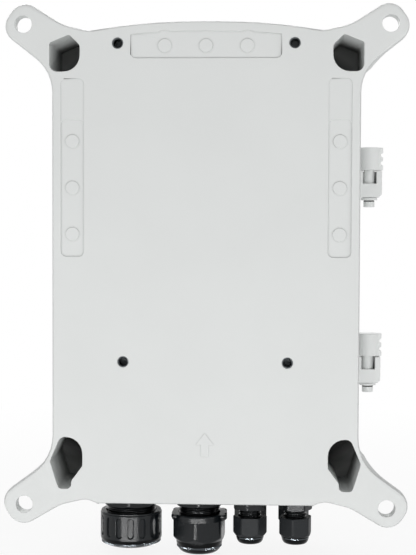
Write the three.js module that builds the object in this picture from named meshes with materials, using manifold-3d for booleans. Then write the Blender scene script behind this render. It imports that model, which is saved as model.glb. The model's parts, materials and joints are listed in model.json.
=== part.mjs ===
// A small dc combiner box for a solar array: a light grey moulded case that stands on a wall by four
// splayed legs, a hinged door, six cable glands under it, and the fuses, arrester and isolator inside.
//
// Lengths are in millimetres, z is up, and the wall is the plane y = 0. Depth is measured forward from
// the wall, so a point at depth d has y = -d. The origin is the middle of the four leg holes.

import * as THREE from 'three';
import { mergeVertices } from 'three/addons/utils/BufferGeometryUtils.js';
import Module from 'manifold-3d';

const wasm = await Module();
wasm.setup();

// How finely round shapes are stepped.
const CORNER_STEPS = 6;
const HOLE_STEPS = 20;
const SMALL_HOLE_STEPS = 8;
const EDGE_STEPS = 2;
const FULL_SIDE_SHARE = 0.98; // rounded corners take up no more of a side than this
const LEAD_SIDES = 6;

// Gaps shared by the whole box.
const SEAT_GAP = 0.3; // between pieces that rest on or in each other
const OVERRUN = 2; // how far a cut runs past the face that it opens

// The case and the door.
const CASE_WIDTH = 240;
const CASE_HEIGHT = 377.2;
const CASE_DEPTH = 100;
const DOOR_DEPTH = 29.4;
const DOOR_GAP = 0.6;
const WALL = 3.5;
const PANEL_SET_BACK = 0.6; // the back panel stands clear of the wall, only the legs touch it
const BACK_WALL = 4;
const CORNER_RADIUS = 20;
const CROWN_DROP = 14.8; // how far the top falls from its middle to the sides
const CROWN_POWER = 2.4;
const CROWN_SHARES = [0, 0.17, 0.33, 0.48, 0.6, 0.7];
const VALLEY_SHARE = 0.754; // where the crown meets the upper legs
const LEG_CROWN_SHARE = 0.65; // the crown's points stop short of the valleys at the upper legs
const BOTTOM_LIFT = 3.4; // the bottom is flat under the glands and lifts beside the legs
const BOTTOM_LIFT_RUN = 9.6;
const LIP_DEPTH = 6; // the inward lip round the mouth of the case
const LIP_WIDTH = 11;
const DOOR_ROUNDING = 6;
const DOOR_ROUNDING_STEPS = 3;
const RIM_DEPTH = 7;
const BACK_ROUNDING = 3;

// The four legs and their bolt holes.
const TOP_HOLE_DROP = 2.3; // the upper holes lie below the crown of the case
const BOTTOM_HOLE_DROP = 0.9; // the lower holes lie below the bottom of the case
const HOLE_OUTSET = 22.2; // the holes lie outside the sides of the case
const LEG_HOLE_RADIUS = 6.75;
const LEG_THICKNESS = 12;
const LEG_RAMP = 10; // run over which the leg's back face falls to the panel
const LEG_PAD_RADIUS = 11; // flat round the bolt hole, front and back
const TOP_LEG = {
  sideAngle: 38, crownAngle: 32.5, sideReach: 14.9, crownReach: 16, endReach: 13.4,
  sideRadius: 33, endRadius: 13, browAngle: 12.4, browRadius: 45, valleyRadius: 25,
};
const BOTTOM_LEG = {
  sideAngle: 35.9, crownAngle: 30.5, sideReach: 16.4, crownReach: 14.8, endReach: 15.2,
  sideRadius: 36, endRadius: 13.5, browAngle: 13.5, browRadius: 40, valleyRadius: 14,
};

// The deep wells moulded into the roots of the legs.
const WELL_DEPTH = 62;
const WELL_WALL = 3;
const WELL_OUTSET = 2; // the wells reach past the sides of the case
const TOP_WELL = { narrowingShare: 0.9225, low: 38.9, high: 10.2 }; // measured down from the crown
const BOTTOM_WELL = { narrowingShare: 1, low: 11.7, high: 52.7 }; // measured up from the bottom
// x runs from the inner to the outer side, z from the low to the high side, and the last number is the
// corner's radius as a share of the well's width.
const TOP_WELL_SHARES = [[0, 0, 0.54], [1, 0, 0.25], [1, 0.78, 0.1], [0.35, 1, 0.13], [0, 0.72, 0.25]];
const BOTTOM_WELL_SHARES = [
  [0.36, 0, 0.14], [0.74, 0, 0.15], [1, 0.53, 0.15], [0.68, 1, 0.24], [0, 1, 0.54], [0, 0.45, 0.3],
  [0.33, 0.165, 0.12],
];

// Shallow recesses with round pads in the back panel.
const RECESS_DEPTH = 1.2;
const SHALLOW_RECESS_DEPTH = 0.6;
const RECESS_RADIUS = 4;
const PAD_RADIUS = 5.25;
const PAD_DROP = 0.2; // the pads end just below the panel
const SIDE_RECESS = { width: 18, inset: 7, low: 7.6, shallow: 31.9, wellGap: 5.35 };
const SIDE_PAD_SHARES = [0.165, 0.504, 0.843]; // along the deep part of the recess
const TOP_RECESS = { halfWidth: 58.6, below: 28.5, inset: 7.5, padDrop: 18.9, padPitch: 32, bulge: 11.9 };
const ARROW = { rise: 0.5, shaftHalf: 3, headHalf: 7, low: 38.5, neck: 47.6, tip: 56.8 };

// Blind threaded holes in the back panel, and the posts for the mounting plate.
const INSERT_HOLE_RADIUS = 4.45;
const INSERT_HOLE_DEPTH = 12;
const INSERT_BOSS_WALL = 3.5;
const TOP_INSERT = { acrossShare: 0.5725, drop: 17 };
const LOW_INSERT = { acrossShare: 0.5358, heightShare: -0.3926 };
const POST_RADIUS = 5.5;
const POST_INSET = 8; // from the edges of the mounting plate to the posts

// The door's gasket and the groove that it lies in.
const GROOVE = { inset: 3.8, width: 4.7, depth: 4 };

// The two hinges. Heights are measured down from the top of each barrel, and the tops are shares of the
// height of the crown.
const HINGE_TOP_SHARES = { upper: 0.5188, lower: -0.3101 };
const HINGE_AXIS_OUTSET = 15;
const HINGE_BARREL = { radius: 9.7, height: 19, combReach: 11.2, combHalf: 5 };
const COMB_NOTCH = { radius: 1.85, drop: 6.3, pitch: 6.8, count: 2 };
const HINGE_PIN = { radius: 4.5, seat: 14, end: 50.2, headRadius: 4.7, headHeight: 4.9 };
const HINGE_RING = { radius: 7, height: 2 };
const HINGE_FORK = {
  top: 19.8, window: 30.4, bottom: 42, armIn: 5.8, armOut: 10.3, halfDepth: 7, chamfer: 2.5, pinGap: 0.6,
};
const HINGE_FOOT = { thickness: 3.4, height: 34, depth: 24 };
const HINGE_ARM = { halfHeight: 6, thickness: 8 };
const HINGE_STEPS = 16;

// The two quarter-turn latches in the door.
const LATCH_HEIGHT_SHARES = { upper: 0.5519, lower: -0.5519 };
const LATCH = {
  lipGap: 5, barrelRadius: 7.5, headRadius: 11, headHeight: 4, gripHalf: 2.2, gripRise: 4,
  studRadius: 3, camThickness: 3, camReach: 16.5, camHalf: 6, sweepGap: 1.5, bossWall: 3.5, bossDepth: 12,
};
const LATCH_STEPS = 20;

// Cable glands, by size. Heights run down from the underside of the case, turns are in degrees.
const SMALL_GLAND = {
  thread: 10, bodyFlats: 24, flange: 7.6, neckRadius: 9, neck: 15, ridges: 3,
  nutFlats: 24, nutTop: 13.8, nutBottom: 28.8, dome: 35, domeRadius: 8, bore: 5, lock: 0, steps: 14,
};
const MIDDLE_GLAND = {
  thread: 16, bodyFlats: 35.6, flange: 8.5, neckRadius: 16.8, neck: 18, ridges: 3,
  nutFlats: 39.8, nutTop: 14.8, nutBottom: 36.8, dome: 47.2, domeRadius: 12.5, bore: 9.5, lock: 6, steps: 20,
};
const LARGE_GLAND = {
  thread: 20, bodyFlats: 40.5, flange: 8.5, neckRadius: 20.2, neck: 18, ridges: 3,
  nutTop: 13.4, nutBottom: 36, dome: 41.9, domeRadius: 15, bore: 12.5, lock: 7, steps: 24,
};
const COLLAR = { radius: 22.7, height: 5.6, lugReach: 2, lugHalf: 2.6, lugs: 6 };
const CAP = { steps: 48, radius: 25.1, ribs: 16, grooveRadius: 2.3, grooveShare: 0.55, grooveEnd: 3.1 };
const GROOVE_SIDES = 6;
const GLAND_WALL = 1.8;
const THREAD_DEPTH = 0.9;
const CREST_SHARE = 0.6;
const LOCKNUT_RIM = 4;
const THREAD_REACH = 3; // how far a gland's thread stands past its locknut or pad
const GLAND_PAD = { height: 3, margin: 6 };

// The glands stand in a row between the lower wells. What they leave of the width is shared out: each
// gap is the one to the left of its gland. Turns are in degrees.
const WELL_WIDTH_SHARE = 0.3132;
const SMALL_OUTER_PLACE = { gapShare: 0.0904, bodyTurn: 0, nutTurn: 18.8 };
const SMALL_INNER_PLACE = { gapShare: 0.1043, bodyTurn: 18, nutTurn: 0 };
const MIDDLE_PLACE = { gapShare: 0.0370, bodyTurn: 30, nutTurn: 22.8 };
const LARGE_PLACE = { gapShare: 0.0716, bodyTurn: 30, nutTurn: 4 };
const SMALL_GLAND_DEPTH_SHARES = [0.27, 0.77];
const GLAND_DEPTH_SHARE = 0.45;

// The mounting plate, its rails and what every rail device shares.
const PLATE = { thickness: 2, seat: 16, wellGap: 3.2, topGap: 34, bottomGap: 56, radius: 4 };
const RAIL = { height: 35, depth: 7.5, thickness: 1, web: 27, margin: 6 };
// Two rows of devices and the earth bar stand on the plate. What they leave of its height is shared out.
const PLATE_GAP_SHARES = { top: 0.3867, middle: 0.311, low: 0.1841 };
const DEVICE = {
  halfHeight: 39, shoulder: 52, pitch: 18, sideGap: 0.2, backGap: 1.2, hookReach: 2.3, hookDepth: 3.2,
  entryRadius: 3.1, entryDepth: 12, entryAt: 44.3, screwRadius: 2.8, screwDepth: 4, screwInset: 6,
};

// Fuse holders with swinging carriers.
const FUSE_COUNT = 4;
const FUSE_BASE = { faceHalf: 26, face: 66, sideWall: 2.4, floor: 34, slotHalf: 4.6, slotThickness: 2.3 };
const FUSE_PIVOT = { depth: 60, drop: 18, radius: 1.6, reach: 1.5 };
const FUSE_CARRIER = { front: 72, back: 58, cheek: 2.2, lowCheekBack: 41, highCheekBack: 46, grip: 3 };
const FUSE_LINK = { radius: 5.15, half: 19, cap: 10, barrelRadius: 4.8, depth: 50, steps: 12 };

// The surge arrester with its two plug-in cartridges.
const ARRESTER = {
  modules: 2, slotHalf: 24.3, floor: 40, front: 64, grip: 4, gripHalf: 8,
  bladeHalf: 4, blade: 1.4, bladeReach: 7, bladeAt: 14,
};

// The isolator and its knob.
const ISOLATOR = {
  modules: 4, faceHalf: 24, face: 64, knobRadius: 16, knobBase: 4,
  gripHalf: 4.2, gripRadius: 3.8, grip: 11, shaftRadius: 3, shaft: 8,
};

// Busbars, earth bar and leads.
const BUSBAR = { thickness: 1.4, strip: 7, prong: 10, prongHalf: 3.8, gap: 2 };
const EARTH_BAR = {
  length: 70, height: 9, depth: 7, foot: 8, standOff: 6, acrossShare: 0.311, holeRadius: 2, holes: 7,
};
const LEAD_RADIUS = 2.4;
const HALF_RUN_SHARE = 0.45; // a bend takes up no more of a straight run than this
const EARTH_LEAD = { rise: 14, inset: 8, low: 14, depth: 32 };
const LEAD_BEND_STEPS = 3;
const LEAD_BEND = 10; // how far from a corner a lead starts to bend

// Finishes.
const finish = (color, roughness, metalness) => () =>
  new THREE.MeshStandardMaterial({ color, roughness, metalness });
const shellGrey = finish(0xd8dad8, 0.5, 0);
const glandBlack = finish(0x2b3033, 0.4, 0);
const sealBlack = finish(0x1b1c1d, 0.8, 0);
const zincSteel = finish(0xb9bcbe, 0.35, 1);
const darkSteel = finish(0x6f7375, 0.4, 1);
const bareCopper = finish(0xb87350, 0.35, 1);
const bareBrass = finish(0xc2a35a, 0.35, 1);
const deviceGrey = finish(0xc9cbc8, 0.55, 0);
const carrierGrey = finish(0xa9adab, 0.5, 0);
const ceramicWhite = finish(0xece9e0, 0.3, 0);
const knobRed = finish(0xb3261e, 0.45, 0);
const cartridgeOrange = finish(0xc4641f, 0.5, 0);
const leadRed = finish(0xa3211c, 0.5, 0);
const leadBlack = finish(0x1d1e20, 0.5, 0);
const leadGreen = finish(0x4f8f3a, 0.5, 0);

// Sizes that follow from the ones above.
const cornerRadius = (flats) => flats / 2 / Math.cos(Math.PI / 6);
const locknutFlats = (size) => 2 * size.thread + LOCKNUT_RIM;
/** Half the width that a gland takes up: body, nut or locknut, whichever is the widest. */
const reachOf = (size, nutRadius) =>
  Math.max(nutRadius, cornerRadius(size.bodyFlats), cornerRadius(locknutFlats(size)));
const smallReach = reachOf(SMALL_GLAND, cornerRadius(SMALL_GLAND.nutFlats));
const middleNutRadius = Math.max(cornerRadius(MIDDLE_GLAND.nutFlats), COLLAR.radius + COLLAR.lugReach);
const middleReach = reachOf(MIDDLE_GLAND, middleNutRadius);
const largeReach = reachOf(LARGE_GLAND, CAP.radius);

const halfWidth = CASE_WIDTH / 2;
const rowHalf = 2 * smallReach + middleReach + largeReach;
const spareWidth = 2 * (halfWidth + WELL_OUTSET - WELL_WALL - rowHalf);
const wellWidth = WELL_WIDTH_SHARE * spareWidth;
const sleeveFace = halfWidth + WELL_OUTSET - wellWidth - WELL_WALL;
const holeX = halfWidth + HOLE_OUTSET;
const holeZ = (CASE_HEIGHT - TOP_HOLE_DROP + BOTTOM_HOLE_DROP) / 2;
const caseTop = holeZ + TOP_HOLE_DROP;
const caseBottom = caseTop - CASE_HEIGHT;
const panelInside = PANEL_SET_BACK + BACK_WALL;
const columnDepth = WELL_DEPTH + WELL_WALL + BACK_ROUNDING;
const doorBack = CASE_DEPTH + DOOR_GAP;
const doorFront = doorBack + DOOR_DEPTH;
const plateBack = PLATE.seat + SEAT_GAP;
const plateFront = plateBack + PLATE.thickness;
const railBack = plateFront + SEAT_GAP;
const railFront = railBack + RAIL.depth;
const plateHalf = sleeveFace - PLATE.wellGap;
const plateTop = caseTop - PLATE.topGap;
const plateBottom = caseBottom + PLATE.bottomGap;
const deviceHeight = 2 * DEVICE.halfHeight;
const spareHeight = plateTop - plateBottom - 2 * deviceHeight - EARTH_BAR.height;
const upperRailZ = plateTop - PLATE_GAP_SHARES.top * spareHeight - DEVICE.halfHeight;
const lowerRailZ = upperRailZ - deviceHeight - PLATE_GAP_SHARES.middle * spareHeight;
const earthBarTop = lowerRailZ - DEVICE.halfHeight - PLATE_GAP_SHARES.low * spareHeight;
const earthBarZ = earthBarTop - EARTH_BAR.height / 2;
const earthBarX = EARTH_BAR.acrossShare * plateHalf;

/** The glands of one row from the left well to the right one, each with its x. */
function glandRow(row) {
  const placed = [];
  row.reduce((edge, gland) => {
    const x = edge + gland.gapShare * spareWidth + gland.reach;
    placed.push({ ...gland, x });
    return x + gland.reach;
  }, -sleeveFace);
  return placed;
}

const smallGland = { size: SMALL_GLAND, reach: smallReach };
const glandDepth = GLAND_DEPTH_SHARE * CASE_DEPTH;
const [smallOuter, smallInner, middleGland, largeGland] = glandRow([
  { ...SMALL_OUTER_PLACE, ...smallGland },
  { ...SMALL_INNER_PLACE, ...smallGland },
  { ...MIDDLE_PLACE, size: MIDDLE_GLAND, reach: middleReach, depth: glandDepth },
  { ...LARGE_PLACE, size: LARGE_GLAND, reach: largeReach, depth: glandDepth },
]);
const smallGlands = SMALL_GLAND_DEPTH_SHARES.flatMap((share) =>
  [smallInner, smallOuter].map((place) => ({ ...place, depth: share * CASE_DEPTH })));

// The bottom stays flat as far as the locknut of the large gland.
const bottomFlat = largeGland.x + locknutFlats(LARGE_GLAND) / 2 + SEAT_GAP;

const radians = THREE.MathUtils.degToRad;
const sides = [-1, 1];

// Outlines are lists of points. In outlines of the case x is across and y is up.

/** A closed outline with straight sides whose corners, {x, z, radius}, are rounded by arcs. */
function roundedOutline(corners, steps = CORNER_STEPS) {
  const count = corners.length;
  const angles = corners.map((here, i) => {
    const corner = new THREE.Vector2(here.x, here.z);
    const before = corners[(i + count - 1) % count];
    const after = corners[(i + 1) % count];
    const back = new THREE.Vector2(before.x, before.z).sub(corner);
    const on = new THREE.Vector2(after.x, after.z).sub(corner);
    const length = on.length();
    const half = back.normalize().angleTo(on.normalize()) / 2;
    return { corner, back, on, length, half, reach: (here.radius ?? 0) / Math.tan(half) };
  });
  // Arcs that would run into each other along a side are both made smaller.
  const fits = angles.map(({ reach, length }, i) =>
    Math.min(1, (FULL_SIDE_SHARE * length) / Math.max(reach + angles[(i + 1) % count].reach, SEAT_GAP)));
  return angles.flatMap(({ corner, back, on, half, reach }, i) => {
    if (!reach) return [corner];
    const kept = reach * Math.min(fits[i], fits[(i + count - 1) % count]);
    const radius = kept * Math.tan(half);
    const inward = back.clone().add(on).normalize();
    const centre = corner.clone().addScaledVector(inward, radius / Math.sin(half));
    const start = corner.clone().addScaledVector(back, kept).sub(centre);
    const turn = Math.sign(on.cross(back)) * (Math.PI - 2 * half);
    return Array.from({ length: steps + 1 }, (_, step) =>
      start.clone().rotateAround(new THREE.Vector2(), (turn * step) / steps).add(centre));
  });
}

/** Where two lines meet, each given by a point and its direction. */
function meet(from, along, other, otherAlong) {
  const reach = other.clone().sub(from).cross(otherAlong) / along.cross(otherAlong);
  return from.clone().addScaledVector(along, reach);
}

/** Pairs of numbers as the points of an outline. */
const points = (pairs) => pairs.map(([x, z]) => new THREE.Vector2(x, z));

/** An outline whose corners are all rounded alike. */
const rounded = (outline, radius, steps) =>
  roundedOutline(outline.map((p) => ({ x: p.x, z: p.y, radius })), steps);

/** A regular outline with flat sides, or a round one where there are many. */
function regularOutline(radius, count, turn = 0) {
  return Array.from({ length: count }, (_, i) => {
    const angle = turn + (2 * Math.PI * i) / count;
    return new THREE.Vector2(radius * Math.cos(angle), radius * Math.sin(angle));
  });
}

/** The outline of a hole whose flat steps still clear a round bar of the given radius. */
const roomFor = (radius, count) => regularOutline((radius + SEAT_GAP) / Math.cos(Math.PI / count), count);

/** A six-sided outline from its width across the flats. */
const hexagon = (flats, turn) => regularOutline(cornerRadius(flats), 6, turn);

/** A rectangle, given by its low and high corners. */
function rectangle(left, low, right, high) {
  return points([[left, low], [right, low], [right, high], [left, high]]);
}

const moved = (outline, x, z) => outline.map((p) => new THREE.Vector2(p.x + x, p.y + z));
const mirrored = (outline) => outline.map((p) => new THREE.Vector2(-p.x, p.y)).reverse();

// Solids.

/** Carries a shape's x, y and z onto three directions, the third square to the first two. */
function turnedTo(geometry, first, second) {
  const third = first.clone().cross(second);
  return geometry.applyMatrix4(new THREE.Matrix4().makeBasis(first, second, third));
}

function extruded(outline, length, holes = [], rounding = 0) {
  const shape = new THREE.Shape(outline);
  shape.holes = holes.map((hole) => new THREE.Path(hole));
  const geometry = new THREE.ExtrudeGeometry(shape, {
    depth: length - 2 * rounding, steps: 1, bevelEnabled: rounding > 0, bevelThickness: rounding,
    bevelSize: rounding, bevelOffset: -rounding, bevelSegments: EDGE_STEPS,
  });
  return geometry.translate(0, 0, rounding);
}

const across = new THREE.Vector3(1, 0, 0);
const forward = new THREE.Vector3(0, -1, 0);
const upward = new THREE.Vector3(0, 0, 1);

/** An outline in x and z, carried forward from one depth to another. */
function slab(outline, back, front, { holes = [], rounding = 0 } = {}) {
  return turnedTo(extruded(outline, front - back, holes, rounding).translate(0, 0, back), across, upward);
}

/** An outline in x and y, carried up from one height to another. */
const column = (outline, low, high, holes = []) =>
  extruded(outline, high - low, holes).translate(0, 0, low);

/** An outline in depth and z, carried across from one x to another. */
function section(outline, left, right) {
  return turnedTo(extruded(outline, right - left).translate(0, 0, -right), forward, upward);
}

/** A box between two corners, each given as x, depth and z. */
function block([left, back, low], [right, front, high]) {
  return slab(rectangle(left, low, right, high), back, front);
}

/** A closed profile of radius and height, turned about the vertical axis. */
function turned(profile, steps) {
  const points = profile.map(([radius, height]) => new THREE.Vector2(radius, height));
  if (points[0].x > 0) points.push(points[0].clone());
  return new THREE.LatheGeometry(points, steps).rotateX(Math.PI / 2);
}

/** The same, turned about an axis that runs forward. */
const turnedForward = (profile, steps) => turned(profile, steps).rotateX(Math.PI / 2);

/** A round bar along the depth. */
function dowel(x, z, radius, back, front, steps = HOLE_STEPS) {
  return slab(moved(regularOutline(radius, steps), x, z), back, front);
}

/** A round upright bar. */
function rod(x, depth, radius, low, high, steps = HOLE_STEPS) {
  return column(moved(regularOutline(radius, steps), x, -depth), low, high);
}

/** A solid that changes from one outline to the next, from depth to depth. */
const loft = (rings) =>
  skin(rings.map(({ outline, depth }) => outline.map((p) => new THREE.Vector3(p.x, -depth, p.y))));

/** A closed skin over rings that all have the same number of points. */
function skin(rings) {
  const count = rings[0].length;
  const faces = [];
  for (let ring = 0; ring + 1 < rings.length; ring += 1) {
    for (let i = 0; i < count; i += 1) {
      const here = ring * count + i;
      const next = ring * count + ((i + 1) % count);
      faces.push(here, next, next + count, here, next + count, here + count);
    }
  }
  const [origin, one, other] = [rings[0][0], rings[0][1], rings[0][count - 1]];
  const flatAcross = one.clone().sub(origin).normalize();
  const normal = flatAcross.clone().cross(other.clone().sub(origin)).normalize();
  const flatUp = normal.clone().cross(flatAcross);
  const flat = rings[0].map((p) => new THREE.Vector2(p.dot(flatAcross), p.dot(flatUp)));
  const last = (rings.length - 1) * count;
  THREE.ShapeUtils.triangulateShape(flat, []).forEach(([a, b, c]) => {
    faces.push(a, c, b, last + a, last + b, last + c);
  });
  const geometry = new THREE.BufferGeometry();
  geometry.setFromPoints(rings.flat());
  geometry.setIndex(faces);
  return geometry;
}

/** A geometry as a solid that can be joined and cut. */
function solid(geometry) {
  const bare = geometry.clone();
  bare.deleteAttribute('normal');
  bare.deleteAttribute('uv');
  const welded = mergeVertices(bare);
  return new wasm.Manifold(new wasm.Mesh({
    numProp: 3,
    vertProperties: new Float32Array(welded.attributes.position.array),
    triVerts: new Uint32Array(welded.index.array),
  }));
}

const asSolid = (shape) => (shape.isBufferGeometry ? solid(shape) : shape);
const join = (...shapes) => shapes.map(asSolid).reduce((whole, shape) => whole.add(shape));
const cut = (whole, ...shapes) =>
  shapes.map(asSolid).reduce((rest, shape) => rest.subtract(shape), asSolid(whole));
const shared = (one, other) => asSolid(one).intersect(asSolid(other));

/** A named mesh from a geometry or a cut solid. */
function piece(name, shape, material) {
  let geometry = shape;
  if (!shape.isBufferGeometry) {
    const mesh = shape.getMesh();
    geometry = new THREE.BufferGeometry();
    geometry.setAttribute('position', new THREE.BufferAttribute(mesh.vertProperties, 3));
    geometry.setIndex(new THREE.BufferAttribute(mesh.triVerts, 1));
  }
  geometry.computeVertexNormals();
  const mesh = new THREE.Mesh(geometry, material());
  mesh.name = name;
  return mesh;
}

// The outline of the case.

/** Height of the crowned top at a distance from the middle, drawn in by an inset. */
function crownAt(x, inset = 0) {
  return caseTop - inset - CROWN_DROP * (Math.abs(x) / halfWidth) ** CROWN_POWER;
}

/** The right half of the top, from the middle outward. */
function crownPoints(inset = 0, limit = 1) {
  return CROWN_SHARES.filter((share) => share < limit).map((share) => {
    const x = share * halfWidth;
    return { x, z: crownAt(x, inset) };
  });
}

/** The outline of the case without its legs, drawn in evenly by an inset. */
function bodyOutline(inset = 0) {
  const side = halfWidth - inset;
  const radius = Math.max(CORNER_RADIUS - inset, WALL);
  const crown = crownPoints(inset);
  const [beforeLast, last] = crown.slice(-2);
  const fall = (last.z - beforeLast.z) / (last.x - beforeLast.x);
  const shoulder = { x: side, z: last.z + fall * (side - last.x), radius };
  const foot = { x: bottomFlat, z: caseBottom + inset };
  const lift = { x: bottomFlat + BOTTOM_LIFT_RUN, z: caseBottom + BOTTOM_LIFT + inset };
  const heel = { x: side, z: caseBottom + BOTTOM_LIFT + inset, radius };
  return mirrorCorners([foot, lift, heel, shoulder, ...crown.reverse()]);
}

/** Completes the right half of an outline, which runs from the bottom middle to the top middle. */
function mirrorCorners(right) {
  const left = right.filter(({ x }) => x > 0).map(({ x, z, radius }) => ({ x: -x, z, radius })).reverse();
  return roundedOutline([...right, ...left]);
}

/** A leg's corners from the side of the case round its end to the valley, as if the leg pointed up. */
function legCorners(leg, valley) {
  const hole = new THREE.Vector2(holeX, holeZ);
  const direction = (angle) => new THREE.Vector2(Math.cos(radians(angle)), Math.sin(radians(angle)));
  const square = (along) => new THREE.Vector2(-along.y, along.x);
  const sideWay = direction(leg.sideAngle);
  const crownWay = direction(leg.crownAngle);
  const axis = direction((leg.sideAngle + leg.crownAngle) / 2);
  const onSide = hole.clone().addScaledVector(square(sideWay), -leg.sideReach);
  const onCrown = hole.clone().addScaledVector(square(crownWay), leg.crownReach);
  const onEnd = hole.clone().addScaledVector(axis, leg.endReach);
  const corner = (at, radius) => ({ x: at.x, z: at.y, radius });
  const flank = new THREE.Vector2(halfWidth, 0);
  const dip = new THREE.Vector2(valley.x, valley.z);
  return [
    corner(meet(onSide, sideWay, flank, new THREE.Vector2(0, 1)), leg.sideRadius),
    corner(meet(onSide, sideWay, onEnd, square(axis)), leg.endRadius),
    corner(meet(onCrown, crownWay, onEnd, square(axis)), leg.endRadius),
    corner(meet(onCrown, crownWay, dip, direction(leg.browAngle)), leg.browRadius),
    corner(dip, leg.valleyRadius),
  ];
}

/** The outline of the back of the case, legs and all. */
function legOutline() {
  const valleyX = VALLEY_SHARE * halfWidth;
  const top = legCorners(TOP_LEG, { x: valleyX, z: crownAt(valleyX) });
  const lift = { x: bottomFlat + BOTTOM_LIFT_RUN, z: -(caseBottom + BOTTOM_LIFT) };
  const bottom = legCorners(BOTTOM_LEG, lift).map(({ x, z, radius }) => ({ x, z: -z, radius })).reverse();
  const foot = { x: bottomFlat, z: caseBottom, radius: CORNER_RADIUS };
  return mirrorCorners([foot, ...bottom, ...top, ...crownPoints(0, LEG_CROWN_SHARE).reverse()]);
}

/** A well's outline on the right side, grown outward on all sides. */
function wellOutline(well, shares, low, high, grow = 0) {
  const width = well.narrowingShare * wellWidth;
  const outer = halfWidth + WELL_OUTSET + grow;
  const inner = halfWidth + WELL_OUTSET - width - grow;
  const corners = shares.map(([x, z, radius]) => ({
    x: inner + x * (outer - inner),
    z: low - grow + z * (high - low + 2 * grow),
    radius: radius * width + grow,
  }));
  return roundedOutline(corners);
}

const topWellLow = caseTop - TOP_WELL.low;
const topWell = (grow) =>
  wellOutline(TOP_WELL, TOP_WELL_SHARES, topWellLow, caseTop - TOP_WELL.high, grow);
function bottomWell(grow) {
  const [low, high] = [BOTTOM_WELL.low, BOTTOM_WELL.high].map((height) => caseBottom + height);
  return wellOutline(BOTTOM_WELL, BOTTOM_WELL_SHARES, low, high, grow);
}
const wellOutlines = (grow) =>
  [topWell(grow), bottomWell(grow)].flatMap((well) => [well, mirrored(well)]);

/** How far along a leg's axis the deep root reaches: past the far corner of its well. */
function rootReach(well, axis) {
  return Math.max(...well.map((p) => p.x * axis.x + Math.abs(p.y) * axis.z)) + WELL_WALL;
}

/** What is cut from the front of the legs, so that each sweeps from its thin end to its deep root. */
function legCutters() {
  return [[TOP_LEG, 1, topWell(0)], [BOTTOM_LEG, -1, bottomWell(0)]].flatMap(([leg, up, well]) => {
    const angle = radians((leg.sideAngle + leg.crownAngle) / 2);
    const axis = new THREE.Vector3(Math.cos(angle), 0, Math.sin(angle));
    const root = rootReach(well, axis);
    const pad = Math.max(holeX * axis.x + holeZ * axis.z - LEG_PAD_RADIUS, root + LEG_RAMP / 2);
    const end = pad + CASE_WIDTH;
    const curve = new THREE.EllipseCurve(
      pad, columnDepth, pad - root, columnDepth - LEG_THICKNESS, -Math.PI / 2, Math.PI, true,
    );
    const profile = [
      new THREE.Vector2(end, LEG_THICKNESS), ...curve.getPoints(CORNER_STEPS),
      new THREE.Vector2(root, CASE_DEPTH), new THREE.Vector2(end, CASE_DEPTH),
    ].reverse();
    return sides.map((side) => {
      const way = new THREE.Vector3(side * axis.x, 0, up * axis.z);
      const cutter = extruded(profile, CASE_WIDTH).translate(0, 0, -halfWidth);
      return turnedTo(cutter, way, forward);
    });
  });
}

/** The shallow cut that sets the back panel behind the legs' pads, ramped along each leg. */
function panelCutter() {
  const ring = (shrink) => {
    const corners = [[TOP_LEG, 1], [BOTTOM_LEG, -1]].map(([leg, up]) => {
      const angle = radians((leg.sideAngle + leg.crownAngle) / 2);
      const axis = new THREE.Vector2(Math.cos(angle), Math.sin(angle));
      const reach = holeX * axis.x + holeZ * axis.y - LEG_PAD_RADIUS - shrink;
      const wide = { x: holeX, z: up * ((reach - holeX * axis.x) / axis.y) };
      const past = holeZ + HOLE_OUTSET;
      const high = { x: (reach - past * axis.y) / axis.x, z: up * past };
      return [wide, high];
    });
    const [[topWide, topHigh], [lowWide, lowHigh]] = corners;
    return mirrorCorners([lowHigh, lowWide, topWide, topHigh]);
  };
  return loft([
    { outline: ring(0), depth: -OVERRUN }, { outline: ring(0), depth: 0 },
    { outline: ring(LEG_RAMP), depth: PANEL_SET_BACK },
  ]);
}

// The back panel's shallow features.

function sideRecess() {
  const outer = halfWidth - SIDE_RECESS.inset;
  const inner = outer - SIDE_RECESS.width;
  const middle = (inner + outer) / 2;
  const { low } = SIDE_RECESS;
  const high = topWellLow - SIDE_RECESS.wellGap;
  const step = high - SIDE_RECESS.shallow;
  const shallow = rounded(rectangle(inner, low, outer, high), RECESS_RADIUS);
  const deep = rounded(rectangle(inner, low, outer, step), RECESS_RADIUS);
  return sides.flatMap((side) => {
    const place = (outline) => (side > 0 ? outline : mirrored(outline));
    const upper = slab(place(shallow), -OVERRUN, PANEL_SET_BACK + SHALLOW_RECESS_DEPTH);
    const lower = slab(place(deep), -OVERRUN, PANEL_SET_BACK + RECESS_DEPTH);
    const pads = SIDE_PAD_SHARES.map((share) => backPad(side * middle, low + share * (step - low)));
    return [cut(upper, ...pads), cut(lower, ...pads)];
  });
}

/** One of the round pads that stand in the recesses. */
function backPad(x, z) {
  return dowel(x, z, PAD_RADIUS, PANEL_SET_BACK + PAD_DROP, PANEL_SET_BACK + RECESS_DEPTH + OVERRUN);
}

function topRecess() {
  const { halfWidth: half, below, inset, padDrop, padPitch, bulge } = TOP_RECESS;
  const low = caseTop - below;
  const crown = crownPoints(inset, half / halfWidth);
  const corner = { x: half, z: crownAt(half, inset), radius: RECESS_RADIUS };
  const outline = mirrorCorners([{ x: half, z: low, radius: RECESS_RADIUS }, corner, ...crown.reverse()]);
  const floor = PANEL_SET_BACK + RECESS_DEPTH;
  const places = [-1, 0, 1].map((i) => i * padPitch);
  const z = caseTop - padDrop;
  const rounds = places.map((x) => dowel(x, z, bulge, -OVERRUN, floor));
  const clear = block([-half, -OVERRUN, low], [half, floor, caseTop]);
  const pads = places.map((x) => backPad(x, z));
  return cut(shared(join(slab(outline, -OVERRUN, floor), ...rounds), clear), ...pads);
}

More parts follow.
